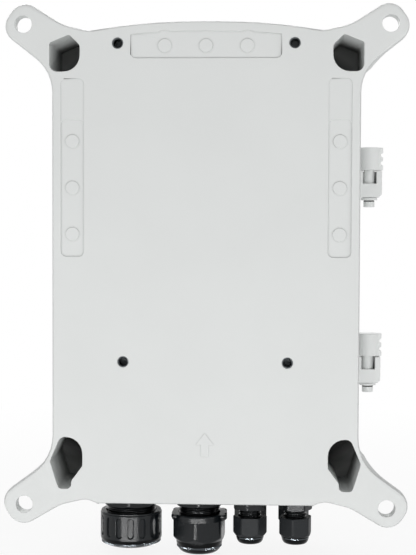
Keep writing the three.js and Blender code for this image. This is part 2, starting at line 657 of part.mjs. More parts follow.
/** The raised arrow that says which way is up, a little over the bottom of the case. */
function upArrow() {
  const { shaftHalf, headHalf, rise } = ARROW;
  const [low, neck, tip] = [ARROW.low, ARROW.neck, ARROW.tip].map((height) => caseBottom + height);
  const corners = [[shaftHalf, low], [shaftHalf, neck], [headHalf, neck], [0, tip]];
  const outline = mirrorCorners(corners.map(([x, z]) => ({ x, z })));
  return slab(outline, PANEL_SET_BACK - rise, panelInside - BACK_WALL / 2);
}

// The case and what is moulded with it.

const insertPlaces = sides.flatMap((side) => [
  [side * TOP_INSERT.acrossShare * halfWidth, caseTop - TOP_INSERT.drop],
  [side * LOW_INSERT.acrossShare * halfWidth, LOW_INSERT.heightShare * caseTop],
]);
const postPlaces = sides.flatMap((side) => [
  [side * (plateHalf - POST_INSET), plateTop - POST_INSET],
  [side * (plateHalf - POST_INSET), plateBottom + POST_INSET],
]);
const legHolePlaces = sides.flatMap((side) => sides.map((up) => [side * holeX, up * holeZ]));

/** The thick pad inside the bottom, tapped for the small glands. */
function tappedPad() {
  const reach = SMALL_GLAND.thread + GLAND_PAD.margin;
  const top = caseBottom + WALL + GLAND_PAD.height;
  const front = Math.max(...smallGlands.map(({ depth }) => depth)) + reach;
  const low = caseBottom + WALL / 2;
  return block([smallOuter.x - reach, BACK_WALL, low], [smallInner.x + reach, front, top]);
}

function caseSolid() {
  const body = slab(bodyOutline(), BACK_ROUNDING, CASE_DEPTH);
  const legs = cut(slab(legOutline(), 0, columnDepth, { rounding: BACK_ROUNDING }), ...legCutters());
  const outer = join(body, legs);
  const room = slab(bodyOutline(WALL), panelInside, CASE_DEPTH - LIP_DEPTH);
  const mouth = slab(bodyOutline(LIP_WIDTH), panelInside, CASE_DEPTH + OVERRUN);
  const shell = cut(outer, room, mouth);
  const wells = wellOutlines(WELL_WALL).map((well) => slab(well, PANEL_SET_BACK, WELL_DEPTH + WELL_WALL));
  const sleeves = shared(join(...wells), outer);
  const bosses = insertPlaces.map(([x, z]) => {
    const radius = INSERT_HOLE_RADIUS + INSERT_BOSS_WALL;
    return dowel(x, z, radius, BACK_WALL, INSERT_HOLE_DEPTH + INSERT_BOSS_WALL, SMALL_HOLE_STEPS);
  });
  const posts = postPlaces.map(([x, z]) =>
    dowel(x, z, POST_RADIUS, BACK_WALL, PLATE.seat, SMALL_HOLE_STEPS));
  const whole = join(shell, sleeves, tappedPad(), ...bosses, ...posts);
  const openings = [
    ...wellOutlines(0).map((well) => slab(well, -OVERRUN, WELL_DEPTH)),
    ...legHolePlaces.map(([x, z]) => dowel(x, z, LEG_HOLE_RADIUS, -OVERRUN, LEG_THICKNESS + OVERRUN)),
    ...insertPlaces.map(([x, z]) => dowel(x, z, INSERT_HOLE_RADIUS, -OVERRUN, INSERT_HOLE_DEPTH)),
    ...[largeGland, middleGland, ...smallGlands].map(({ x, depth, size }) => {
      const hole = moved(roomFor(size.thread, size.steps), x, -depth);
      return column(hole, caseBottom - OVERRUN, caseBottom + WALL + GLAND_PAD.height + OVERRUN);
    }),
  ];
  const bare = cut(whole, ...openings, panelCutter(), ...sideRecess(), topRecess());
  return join(bare, upArrow());
}

// The door, its gasket and its latches.

const latchX = halfWidth - LIP_WIDTH - LATCH.lipGap - LATCH.camHalf;
const latchPlaces = Object.entries(LATCH_HEIGHT_SHARES).map(([where, share]) => [where, share * caseTop]);

function doorSolid() {
  const rounding = Array.from({ length: DOOR_ROUNDING_STEPS + 1 }, (_, i) => {
    const angle = (i * Math.PI) / 2 / DOOR_ROUNDING_STEPS;
    return {
      outline: bodyOutline(DOOR_ROUNDING * (1 - Math.cos(angle))),
      depth: doorFront - DOOR_ROUNDING * (1 - Math.sin(angle)),
    };
  });
  const outer = loft([{ outline: bodyOutline(), depth: doorBack }, ...rounding]);
  const mouth = slab(bodyOutline(LIP_WIDTH), doorBack - OVERRUN, doorFront - WALL);
  const room = slab(bodyOutline(DOOR_ROUNDING), doorBack + RIM_DEPTH, doorFront - WALL);
  const groove = slab(bodyOutline(GROOVE.inset), doorBack - OVERRUN, doorBack + GROOVE.depth, {
    holes: [bodyOutline(GROOVE.inset + GROOVE.width)],
  });
  const inside = doorFront - WALL;
  const bossRadius = LATCH.barrelRadius + LATCH.bossWall;
  const bosses = latchPlaces.map(([, z]) =>
    dowel(latchX, z, bossRadius, inside - LATCH.bossDepth, inside + WALL / 2));
  const holes = latchPlaces.map(([, z]) =>
    slab(moved(roomFor(LATCH.barrelRadius, LATCH_STEPS), latchX, z), doorBack, doorFront + OVERRUN));
  return cut(join(cut(outer, mouth, room, groove), ...bosses), ...holes);
}

function gasketSolid() {
  const outline = bodyOutline(GROOVE.inset + SEAT_GAP);
  const hole = bodyOutline(GROOVE.inset + GROOVE.width - SEAT_GAP);
  return slab(outline, CASE_DEPTH + SEAT_GAP, doorBack + GROOVE.depth - SEAT_GAP, { holes: [hole] });
}

const camFront = CASE_DEPTH - LIP_DEPTH - LATCH.sweepGap;
const camBack = camFront - LATCH.camThickness;

/** The part of a latch that is turned from outside: head, grip, barrel and stud, about the origin. */
function latchKnobSolid() {
  const { barrelRadius, headRadius, headHeight, gripHalf, gripRise, studRadius } = LATCH;
  const seat = doorFront + SEAT_GAP;
  const end = camBack - LATCH.camThickness;
  const body = turnedForward([
    [0, end], [studRadius, end], [studRadius, camFront + SEAT_GAP],
    [barrelRadius, camFront + SEAT_GAP], [barrelRadius, seat], [headRadius, seat],
    [headRadius, seat + headHeight - gripHalf / 2], [headRadius - gripHalf / 2, seat + headHeight],
    [0, seat + headHeight],
  ], LATCH_STEPS);
  const grip = block(
    [-gripHalf, seat + headHeight / 2, gripHalf - headRadius],
    [gripHalf, seat + headHeight + gripRise, headRadius - gripHalf],
  );
  return join(body, grip);
}

/** The cam on the stud. It points up when the latch is open. */
function latchCamSolid() {
  const { camHalf, camReach, studRadius } = LATCH;
  const outline = rounded(rectangle(-camHalf, -camHalf, camHalf, camReach), camHalf / 2, EDGE_STEPS);
  return slab(outline, camBack, camFront, { holes: [roomFor(studRadius, HOLE_STEPS)] });
}

// The hinges. Each is drawn with the top of its barrel at z = 0 and its axis at x = 0, depth 0.

const hingeX = -(halfWidth + HINGE_AXIS_OUTSET);
const wallFace = HINGE_AXIS_OUTSET - SEAT_GAP; // the side of the case and door, from the axis

/** The barrel that turns with the door, with a notched comb beside it and the arm that carries it. */
function knuckleSolid() {
  const { radius, height, combReach, combHalf } = HINGE_BARREL;
  const barrel = rod(0, 0, radius, -height, 0, HINGE_STEPS);
  const notches = Array.from({ length: COMB_NOTCH.count }, (_, i) => {
    const z = -COMB_NOTCH.drop - i * COMB_NOTCH.pitch;
    return dowel(-combReach, z, COMB_NOTCH.radius, -combHalf - OVERRUN, combHalf + OVERRUN);
  });
  const comb = cut(block([-combReach, -combHalf, -height], [0, combHalf, 0]), ...notches);
  const { thickness, depth } = HINGE_FOOT;
  const footBack = DOOR_GAP + RIM_DEPTH / 2;
  const footFront = footBack + depth - RIM_DEPTH;
  const foot = block([wallFace - thickness, footBack, -height], [wallFace, footFront, 0]);
  const middle = -height / 2;
  const { halfHeight } = HINGE_ARM;
  const armEnd = [wallFace - thickness / 2, footBack + HINGE_ARM.thickness, middle + halfHeight];
  const arm = block([0, footBack, middle - halfHeight], armEnd);
  const bore = column(roomFor(HINGE_PIN.radius, HINGE_STEPS), -height - OVERRUN, HINGE_PIN.seat - height);
  return cut(join(barrel, comb, foot, arm), bore);
}

/** The fork that is screwed to the side of the case. Its window shows the pin and is closed in front. */
function forkSolid() {
  const { top, window, bottom, armIn, armOut, halfDepth, chamfer, pinGap } = HINGE_FORK;
  const inner = wallFace;
  const outline = points([
    [-armOut, -top], [-armIn, -top], [-armIn, -window], [armIn, -window], [armIn, -top], [inner, -top],
    [inner, -bottom], [chamfer - armOut, -bottom], [-armOut, chamfer - bottom],
  ]);
  const fork = slab(outline.reverse(), -halfDepth, halfDepth);
  const floor = block([-armOut, HINGE_PIN.radius + pinGap, -window - OVERRUN], [armIn, halfDepth, -top]);
  const { thickness, height, depth } = HINGE_FOOT;
  const middle = -(top + bottom) / 2;
  const foot = block(
    [inner - thickness, -depth, middle - height / 2], [inner, -DOOR_GAP, middle + height / 2],
  );
  const kept = block([-armOut, -depth, -bottom - height], [inner, halfDepth, -top]);
  const bore = column(roomFor(HINGE_PIN.radius, HINGE_STEPS), -bottom - OVERRUN, OVERRUN - window);
  return cut(shared(join(fork, floor, foot), kept), bore, doorClearance());
}

/** Room behind the fork for the edge of the door. */
function doorClearance() {
  const { armIn, bottom, halfDepth, top } = HINGE_FORK;
  const far = [wallFace + OVERRUN, halfDepth + OVERRUN, OVERRUN - top];
  return block([armIn, -DOOR_GAP, -bottom - OVERRUN], far);
}

/** The pin with its ring and its lower end. */
function hingePinSolid() {
  const { radius, seat, end, headRadius, headHeight } = HINGE_PIN;
  const high = seat - HINGE_BARREL.height - SEAT_GAP;
  const ringTop = -HINGE_FORK.bottom - SEAT_GAP;
  const ringLow = ringTop - HINGE_RING.height;
  return turned([
    [0, -end], [headRadius, -end], [headRadius, headHeight - end], [radius, headHeight - end],
    [radius, ringLow], [HINGE_RING.radius, ringLow], [HINGE_RING.radius, ringTop], [radius, ringTop],
    [radius, high], [0, high],
  ], HINGE_STEPS);
}

function hinge(where, top) {
  const group = new THREE.Group();
  group.position.set(hingeX, -CASE_DEPTH, top);
  group.add(
    piece(`hinge_fork_${where}`, forkSolid(), shellGrey),
    piece(`hinge_knuckle_${where}`, knuckleSolid(), shellGrey),
    piece(`hinge_pin_${where}`, hingePinSolid(), shellGrey),
  );
  return group;
}

// The cable glands. Each is drawn below z = 0, the underside of the case.

/** Crests and roots of a thread down a stretch, as profile points. */
function threadPoints(radius, high, low, ridges) {
  const pitch = (high - low) / ridges;
  return Array.from({ length: ridges }, (_, i) => [
    [radius, high - i * pitch], [radius - THREAD_DEPTH, high - (i + CREST_SHARE) * pitch],
  ]).flat();
}

function glandBodySolid(size, turn, threadTop) {
  const { thread, bodyFlats, flange, neckRadius, neck, ridges, steps } = size;
  const inside = Math.min(neckRadius - THREAD_DEPTH, thread) - GLAND_WALL;
  const neckLow = -(flange + neck);
  const stem = turned([
    [inside, threadTop], [inside, neckLow],
    ...threadPoints(neckRadius, -flange, neckLow, ridges).reverse(),
    [neckRadius, -flange / 2], [thread, -flange / 2], [thread, threadTop],
  ], steps);
  const hole = regularOutline(inside + GLAND_WALL / 2, steps);
  return join(stem, column(hexagon(bodyFlats, radians(turn)), -flange, 0, [hole]));
}

/** The room inside a gland's nut: wide over the neck, then narrowing to the cable hole. */
function nutRoom(size, top) {
  const { neckRadius, flange, neck, dome, bore, steps } = size;
  const wide = (neckRadius + SEAT_GAP) / Math.cos(Math.PI / steps);
  const shelf = -(flange + neck + SEAT_GAP);
  const narrowing = Math.min(shelf - GLAND_WALL, GLAND_WALL - size.nutBottom);
  return turned([
    [0, -dome - OVERRUN], [bore, -dome - OVERRUN], [bore, -dome + GLAND_WALL],
    [wide, narrowing], [wide, top + OVERRUN], [0, top + OVERRUN],
  ], steps);
}

/** The rounded lower end of a nut. */
function domeSolid(radius, size) {
  const { nutBottom, dome, domeRadius, bore, steps } = size;
  const curve = new THREE.EllipseCurve(
    domeRadius, -nutBottom, radius - domeRadius, dome - nutBottom, 0, -Math.PI / 2, true,
  );
  const bend = curve.getPoints(EDGE_STEPS + 1).map((p) => [p.x, p.y]);
  const top = SEAT_GAP - nutBottom;
  return turned([[bore, top], [radius, top], ...bend, [bore, -dome]].reverse(), steps);
}

function hexNutSolid(size, turn) {
  const { nutFlats, nutTop, nutBottom } = size;
  const outer = column(hexagon(nutFlats, radians(turn)), -nutBottom, -nutTop);
  return cut(join(outer, domeSolid(nutFlats / 2, size)), nutRoom(size, -nutTop));
}

/** The middle gland's nut has a round collar with lugs over its hexagon. */
function collarNutSolid(size, turn) {
  const { nutTop, steps } = size;
  const { radius, height, lugReach, lugHalf, lugs } = COLLAR;
  const ring = column(regularOutline(radius, steps), -nutTop - height, -nutTop);
  const lug = rectangle(0, -lugHalf, radius + lugReach, lugHalf);
  const all = Array.from({ length: lugs }, (_, i) => {
    const angle = (Math.PI * (2 * i + 1)) / lugs;
    const outline = lug.map((p) => p.clone().rotateAround(new THREE.Vector2(), angle));
    return column(outline, -nutTop - height / 2, -nutTop);
  });
  return cut(join(hexNutSolid(size, turn), ring, ...all), nutRoom(size, -nutTop));
}

/** The large gland's nut is a round cap with long grooves between its ribs. */
function ribbedCapSolid(size, turn) {
  const { nutTop, nutBottom } = size;
  const { radius, steps, ribs, grooveRadius, grooveShare, grooveEnd } = CAP;
  const body = column(regularOutline(radius, steps), -nutBottom, -nutTop);
  const grooves = Array.from({ length: ribs }, (_, i) => {
    const middle = new THREE.Vector2(radius + grooveRadius * grooveShare, 0);
    middle.rotateAround(new THREE.Vector2(), (2 * Math.PI * i) / ribs + radians(turn));
    const outline = moved(regularOutline(grooveRadius, GROOVE_SIDES), middle.x, middle.y);
    return column(outline, grooveEnd - nutBottom, -nutTop - grooveEnd);
  });
  return cut(join(cut(body, ...grooves), domeSolid(radius, size)), nutRoom(size, -nutTop));
}

/** The rubber ring that closes on the cable, between the neck's end and the dome. */
function sealSolid(size) {
  const { flange, neck, dome, bore, neckRadius, steps } = size;
  const top = -(flange + neck + SEAT_GAP);
  const low = -dome + GLAND_WALL + SEAT_GAP;
  const wide = neckRadius - THREAD_DEPTH - SEAT_GAP;
  const inner = bore - GLAND_WALL / 2;
  const outer = wide - GLAND_WALL;
  const profile = [[inner, low], [bore + SEAT_GAP, low + SEAT_GAP], [outer, (top + low) / 2], [outer, top]];
  return turned([...profile, [inner, top]], steps);
}

function locknutSolid(size) {
  const low = WALL + SEAT_GAP;
  const outline = hexagon(locknutFlats(size), Math.PI / 6);
  return column(outline, low, low + size.lock, [roomFor(size.thread, size.steps)]);
}

function gland(name, { x, depth, bodyTurn, nutTurn, size }, nutSolid) {
  const group = new THREE.Group();
  group.position.set(x, -depth, caseBottom);
  const threadTop = size.lock ? WALL + SEAT_GAP + size.lock + THREAD_REACH : WALL + GLAND_PAD.height;
  group.add(
    piece(`${name}_body`, glandBodySolid(size, bodyTurn, threadTop), glandBlack),
    piece(`${name}_nut`, nutSolid(size, nutTurn), glandBlack),
    piece(`${name}_seal`, sealSolid(size), sealBlack),
  );
  if (size.lock) group.add(piece(`${name}_locknut`, locknutSolid(size), glandBlack));
  return group;
}

// Inside: the plate and its rails.

function plateSolid() {
  const outline = rectangle(-plateHalf, plateBottom, plateHalf, plateTop);
  return slab(rounded(outline, PLATE.radius, EDGE_STEPS), plateBack, plateFront);
}

/** A top-hat rail: a web on the plate and two brims in front. */
function railSolid(z) {
  const { height, thickness, web, margin } = RAIL;
  const half = height / 2;
  const webHalf = web / 2;
  const upper = [
    [railBack, webHalf], [railFront - thickness, webHalf], [railFront - thickness, half], [railFront, half],
    [railFront, webHalf - thickness], [railBack + thickness, webHalf - thickness],
  ];
  const lower = upper.map(([depth, up]) => [depth, -up]).reverse();
  const outline = [...upper, ...lower].map(([depth, up]) => new THREE.Vector2(depth, z + up)).reverse();
  const length = plateHalf - margin;
  return section(outline, -length, length);
}

/** The side view of a rail device, hooked on the rail, with a raised or sunk middle. */
function deviceOutline(z, middleHalf, middleFront) {
  const { halfHeight, shoulder, backGap, hookReach, hookDepth } = DEVICE;
  const back = plateFront + backGap;
  const rail = RAIL.height / 2 + SEAT_GAP;
  const hookFront = railFront - RAIL.thickness - SEAT_GAP;
  const upper = [
    [middleFront, middleHalf], [shoulder, middleHalf], [shoulder, halfHeight], [back, halfHeight],
    [back, rail], [hookFront - hookDepth, rail], [hookFront - hookDepth, rail - hookReach],
    [hookFront, rail - hookReach], [hookFront, rail], [railFront + SEAT_GAP, rail],
  ];
  const lower = upper.map(([depth, up]) => [depth, -up]).reverse();
  return [...upper, ...lower].map(([depth, up]) => new THREE.Vector2(depth, z + up));
}

/** Wire entries at the top or bottom of a device and the screw holes over them. */
function terminalCutters(x, z, up, slotted = false) {
  const { shoulder, entryRadius, entryDepth, entryAt, screwRadius, screwDepth, screwInset } = DEVICE;
  const edge = z + up * DEVICE.halfHeight;
  const [low, high] = up > 0 ? [edge - entryDepth, edge + OVERRUN] : [edge - OVERRUN, edge + entryDepth];
  const [wide, thick] = [FUSE_BASE.slotHalf, FUSE_BASE.slotThickness / 2];
  const entry = slotted
    ? block([x - wide, entryAt - thick, low], [x + wide, entryAt + thick, high])
    : rod(x, entryAt, entryRadius, low, high, SMALL_HOLE_STEPS);
  const screwZ = edge - up * screwInset;
  const bottom = shoulder - screwDepth;
  return [entry, dowel(x, screwZ, screwRadius, bottom, shoulder + OVERRUN, SMALL_HOLE_STEPS)];
}

// Fuse holders.

function fuseBaseSolid(z) {
  const { faceHalf, face, sideWall, floor } = FUSE_BASE;
  const half = DEVICE.pitch / 2 - DEVICE.sideGap;
  const body = section(deviceOutline(z, faceHalf, face), -half, half);
  const inside = half - sideWall;
  const channel = block([-inside, floor, z - faceHalf], [inside, face + OVERRUN, z + faceHalf]);
  const pivot = section(
    moved(roomFor(FUSE_PIVOT.radius, SMALL_HOLE_STEPS), FUSE_PIVOT.depth, z - FUSE_PIVOT.drop),
    -half - OVERRUN, half + OVERRUN,
  );
  return cut(body, channel, pivot, ...terminalCutters(0, z, 1), ...terminalCutters(0, z, -1, true));
}

function fuseCarrierSolid(z) {
  const { front, back, cheek, lowCheekBack, highCheekBack, grip } = FUSE_CARRIER;
  const half = FUSE_LINK.half + SEAT_GAP + cheek;
  const inside = DEVICE.pitch / 2 - DEVICE.sideGap - FUSE_BASE.sideWall;
  const wide = inside - SEAT_GAP;
  const outline = [
    [lowCheekBack, -half], [front, -half], [front, half - 2 * grip], [front + grip, half - grip],
    [front, half], [highCheekBack, half], [highCheekBack, half - cheek], [back, half - cheek],
    [back, cheek - half], [lowCheekBack, cheek - half],
  ].map(([depth, up]) => new THREE.Vector2(depth, z + up));
  const reach = inside + FUSE_PIVOT.reach;
  const round = regularOutline(FUSE_PIVOT.radius, SMALL_HOLE_STEPS);
  const pivot = section(moved(round, FUSE_PIVOT.depth, z - FUSE_PIVOT.drop), -reach, reach);
  return join(section(outline, -wide, wide), pivot);
}

function fuseLinkSolid() {
  const { radius, half, cap, barrelRadius, steps } = FUSE_LINK;
  return turned([
    [0, -half], [radius, -half], [radius, cap - half], [barrelRadius, cap - half],
    [barrelRadius, half - cap], [radius, half - cap], [radius, half], [0, half],
  ], steps);
}

function fuseHolder(index, x, z) {
  const group = new THREE.Group();
  group.position.x = x;
  const link = piece(`fuse_link_${index}`, fuseLinkSolid(), ceramicWhite);
  link.position.set(0, -FUSE_LINK.depth, z);
  group.add(
    piece(`fuse_base_${index}`, fuseBaseSolid(z), deviceGrey),
    piece(`fuse_carrier_${index}`, fuseCarrierSolid(z), carrierGrey),
    link,
  );
  return group;
}

// The surge arrester.

const bladeHeights = [-ARRESTER.bladeAt, ARRESTER.bladeAt];

function arresterBaseSolid(z) {
  const { slotHalf, floor, bladeHalf, blade, bladeReach } = ARRESTER;
  const half = DEVICE.pitch - DEVICE.sideGap;
  const body = section(deviceOutline(z, slotHalf, floor), -half, half);
  const sockets = sides.flatMap((side) => bladeHeights.map((up) => {
    const x = (side * DEVICE.pitch) / 2;
    const thick = blade / 2 + SEAT_GAP;
    return block(
      [x - bladeHalf - SEAT_GAP, floor - bladeReach - SEAT_GAP, z + up - thick],
      [x + bladeHalf + SEAT_GAP, floor + OVERRUN, z + up + thick],
    );
  }));
  const terminals = sides.flatMap((side) => terminalCutters((side * DEVICE.pitch) / 2, z, -1, true));
  return cut(body, ...sockets, ...terminals, ...terminalCutters(0, z, 1));
}

function cartridgeSolid(z) {
  const { slotHalf, floor, front, grip, gripHalf, bladeHalf, blade, bladeReach } = ARRESTER;
  const half = DEVICE.pitch / 2 - DEVICE.sideGap;
  const high = slotHalf - SEAT_GAP;
  const body = section([
    [floor + SEAT_GAP, -high], [front, -high], [front, -gripHalf - grip], [front + grip, -gripHalf],
    [front + grip, gripHalf], [front, gripHalf + grip], [front, high], [floor + SEAT_GAP, high],
  ].map(([depth, up]) => new THREE.Vector2(depth, z + up)), -half, half);
  const blades = bladeHeights.map((up) => block(
    [-bladeHalf, floor - bladeReach, z + up - blade / 2], [bladeHalf, floor + OVERRUN, z + up + blade / 2],
  ));
  return join(body, ...blades);
}

function arrester(z) {
  const group = new THREE.Group();
  group.add(piece('arrester_base', arresterBaseSolid(z), deviceGrey));
  [['positive', -1], ['negative', 1]].forEach(([pole, side]) => {
    const cartridge = piece(`arrester_cartridge_${pole}`, cartridgeSolid(z), cartridgeOrange);
    cartridge.position.x = (side * DEVICE.pitch) / 2;
    group.add(cartridge);
  });
  return group;
}

// The isolator.

const isolatorHalf = (ISOLATOR.modules * DEVICE.pitch) / 2 - DEVICE.sideGap;
const poleX = (DEVICE.pitch * (ISOLATOR.modules - 1)) / 2;

function isolatorBodySolid(z) {
  const { faceHalf, face, shaftRadius, shaft } = ISOLATOR;
  const body = section(deviceOutline(z, faceHalf, face), -isolatorHalf, isolatorHalf);
  const poles = Array.from({ length: ISOLATOR.modules }, (_, i) => i * DEVICE.pitch - poleX);
  const terminals = poles.flatMap((x) => sides.flatMap((up) => terminalCutters(x, z, up)));
  const shaftHole = slab(moved(roomFor(shaftRadius, HOLE_STEPS), 0, z), face - shaft, face + OVERRUN);
  return cut(body, shaftHole, ...terminals);
}

/** The knob: a shaft, a round base and a bar to grip. */
function isolatorKnobSolid() {
  const { face, knobRadius, knobBase, gripHalf, gripRadius, grip, shaftRadius, shaft } = ISOLATOR;
  const back = face + SEAT_GAP;
  const base = turnedForward([
    [0, back - shaft + 2 * SEAT_GAP], [shaftRadius, back - shaft + 2 * SEAT_GAP], [shaftRadius, back],
    [knobRadius, back], [knobRadius, back + knobBase / 2], [knobRadius - knobBase / 2, back + knobBase],
    [0, back + knobBase],
  ], LATCH_STEPS);
  const bar = rounded(rectangle(-gripHalf, -knobRadius, gripHalf, knobRadius), gripRadius, EDGE_STEPS);
  return join(base, slab(bar, back + knobBase / 2, back + knobBase + grip));
}

// Busbars, earth bar and leads.

const busDepth = DEVICE.entryAt;
const prongHigh = upperRailZ - DEVICE.halfHeight + BUSBAR.prong;
const stripHigh = upperRailZ - DEVICE.halfHeight - BUSBAR.gap;
const stripLow = stripHigh - BUSBAR.strip;

/** A comb busbar: a strip below three terminals, with a prong into each. */
function busbarSolid(centres) {
  const { thickness, prongHalf } = BUSBAR;
  const ordered = [...centres].sort((a, b) => a - b);
  const left = ordered[0] - prongHalf;
  const right = ordered[ordered.length - 1] + prongHalf;
  const prongs = ordered.reverse().flatMap((x) => [
    [x + prongHalf, stripHigh], [x + prongHalf, prongHigh],
    [x - prongHalf, prongHigh], [x - prongHalf, stripHigh],
  ]);
  const corners = [[left, stripLow], [right, stripLow], ...prongs];
  const outline = corners.map(([x, z]) => new THREE.Vector2(x, z));
  return slab(outline, busDepth - thickness / 2, busDepth + thickness / 2);
}

const earthBarBack = plateFront + SEAT_GAP;
const earthBarMiddle = earthBarBack + EARTH_BAR.standOff + EARTH_BAR.depth / 2;

/** The brass earth bar on its two feet, with a row of wire holes and one in its end. */
function earthBarSolid() {
  const { length, height, depth, foot, standOff, holeRadius, holes } = EARTH_BAR;
  const [low, high] = [earthBarZ - height / 2, earthBarZ + height / 2];
  const [left, right] = [earthBarX - length / 2, earthBarX + length / 2];
  const front = earthBarBack + standOff;
  const bar = block([left, front, low], [right, front + depth, high]);
  const feet = [left, right - foot].map((edge) =>
    block([edge, earthBarBack, low], [edge + foot, front + depth / 2, high]));
  const pitch = length / (holes + 1);
  const wireHoles = Array.from({ length: holes }, (_, i) => {
    const x = left + (i + 1) * pitch;
    return rod(x, earthBarMiddle, holeRadius, low - OVERRUN, high + OVERRUN, SMALL_HOLE_STEPS);
  });
  const end = section(
    moved(roomFor(LEAD_RADIUS, SMALL_HOLE_STEPS), earthBarMiddle, earthBarZ),
    right - foot / 2, right + OVERRUN,
  );
  return cut(join(bar, ...feet), ...wireHoles, end);
}

/** A round lead along straight runs, given as x, depth and z, with rounded bends between them. */
function leadSolid(places) {
  const corners = places.map(([x, depth, z]) => new THREE.Vector3(x, -depth, z));
  const path = corners.flatMap((here, i) => {
    const before = corners[i - 1];
    const next = corners[i + 1];
    if (!before || !next) return [here];
    const run = Math.min(here.distanceTo(before), here.distanceTo(next));
    const reach = Math.min(LEAD_BEND, run * HALF_RUN_SHARE);
    const start = here.clone().add(before.clone().sub(here).setLength(reach));
    const stop = here.clone().add(next.clone().sub(here).setLength(reach));
    return new THREE.QuadraticBezierCurve3(start, here, stop).getPoints(LEAD_BEND_STEPS);
  });
  return tube(path);
}

/** A tube with a ring of corners square to the path at each of its points. */
function tube(path) {
  const ways = path.map((point, i) => {
    const before = path[Math.max(i - 1, 0)];
    const next = path[Math.min(i + 1, path.length - 1)];
    return point.clone().sub(before).normalize().add(next.clone().sub(point).normalize()).normalize();
  });
  const side = new THREE.Vector3().crossVectors(ways[0], forward).normalize();
  const rings = path.map((point, i) => {
    side.addScaledVector(ways[i], -side.dot(ways[i])).normalize();
    const other = new THREE.Vector3().crossVectors(ways[i], side);
    return regularOutline(LEAD_RADIUS, LEAD_SIDES).map((p) =>
      point.clone().addScaledVector(side, p.x).addScaledVector(other, p.y));
  });
  return skin(rings);
}

function outputLead(fromX, toX) {
  const end = lowerRailZ + DEVICE.halfHeight;
  const start = stripLow - SEAT_GAP;
  const middle = (start + end) / 2;
  return leadSolid([
    [fromX, busDepth, start], [fromX, busDepth, middle + LEAD_RADIUS],
    [toX, busDepth, middle - LEAD_RADIUS], [toX, busDepth, end - DEVICE.entryDepth + SEAT_GAP],
  ]);
}

function earthLead() {
  const { inset, depth, rise, low } = EARTH_LEAD;
  const x = plateHalf - inset;
  const top = upperRailZ + DEVICE.halfHeight;
  const end = earthBarX + (EARTH_BAR.length - EARTH_BAR.foot) / 2 + SEAT_GAP;
  return leadSolid([
    [0, DEVICE.entryAt, top - DEVICE.entryDepth + SEAT_GAP], [0, DEVICE.entryAt, top + rise],
    [x, depth, top + rise], [x, depth, earthBarZ + low],
    [x, earthBarMiddle, earthBarZ], [end, earthBarMiddle, earthBarZ],
  ]);
}

// Where the devices stand: two fuse holders on each side of the arrester.

const fuseCentres = Array.from({ length: FUSE_COUNT }, (_, i) => {
  const side = i < FUSE_COUNT / 2 ? -1 : 1;
  const rank = side < 0 ? FUSE_COUNT / 2 - 1 - i : i - FUSE_COUNT / 2;
  return (side * DEVICE.pitch * (2 * rank + ARRESTER.modules + 1)) / 2;
});
const positiveTerminals = [...fuseCentres.filter((x) => x < 0), -DEVICE.pitch / 2];
const negativeTerminals = [...fuseCentres.filter((x) => x > 0), DEVICE.pitch / 2];

// The whole box.

const combinerBox = new THREE.Group();
combinerBox.add(
  piece('case', caseSolid(), shellGrey),
  piece('door', doorSolid(), shellGrey),
  piece('door_gasket', gasketSolid(), sealBlack),
  piece('mounting_plate', plateSolid(), zincSteel),
  piece('rail_upper', railSolid(upperRailZ), zincSteel),
  piece('rail_lower', railSolid(lowerRailZ), zincSteel),
);
Object.entries(HINGE_TOP_SHARES).forEach(([where, share]) => {
  combinerBox.add(hinge(where, share * caseTop));
});

latchPlaces.forEach(([where, z]) => {
  const knob = piece(`latch_knob_${where}`, latchKnobSolid(), darkSteel);
  const cam = piece(`latch_cam_${where}`, latchCamSolid(), zincSteel);
  [knob, cam].forEach((mesh) => mesh.position.set(latchX, 0, z));
  combinerBox.add(knob, cam);
});

combinerBox.add(
  gland('gland_large', largeGland, ribbedCapSolid),
  gland('gland_middle', middleGland, collarNutSolid),
  ...smallGlands.map((place, i) => gland(`gland_small_${i + 1}`, place, hexNutSolid)),
  ...fuseCentres.map((x, i) => fuseHolder(i + 1, x, upperRailZ)),
  arrester(upperRailZ),
  piece('isolator_body', isolatorBodySolid(lowerRailZ), deviceGrey),
  piece('positive_busbar', busbarSolid(positiveTerminals), bareCopper),
  piece('negative_busbar', busbarSolid(negativeTerminals), bareCopper),
  piece('earth_bar', earthBarSolid(), bareBrass),
  piece('output_lead_positive', outputLead(positiveTerminals[0], -poleX), leadRed),
  piece('output_lead_negative', outputLead(-positiveTerminals[0], poleX), leadBlack),
  piece('earth_lead', earthLead(), leadGreen),
);
const isolatorKnob = piece('isolator_knob', isolatorKnobSolid(), knobRed);
isolatorKnob.position.z = lowerRailZ;
combinerBox.add(isolatorKnob);

export default combinerBox;
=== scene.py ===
# %% [markdown]
# # A dc combiner box, seen from the side that goes to the wall
# A combiner box gathers the cables of a few solar strings. This one is a light grey moulded case on four
# legs, with a door in front, two hinges and six black cable glands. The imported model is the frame: every
# piece made here sits where its solid sits, in metres, and rides on the same body.

# %% Load the frame
import json
import math

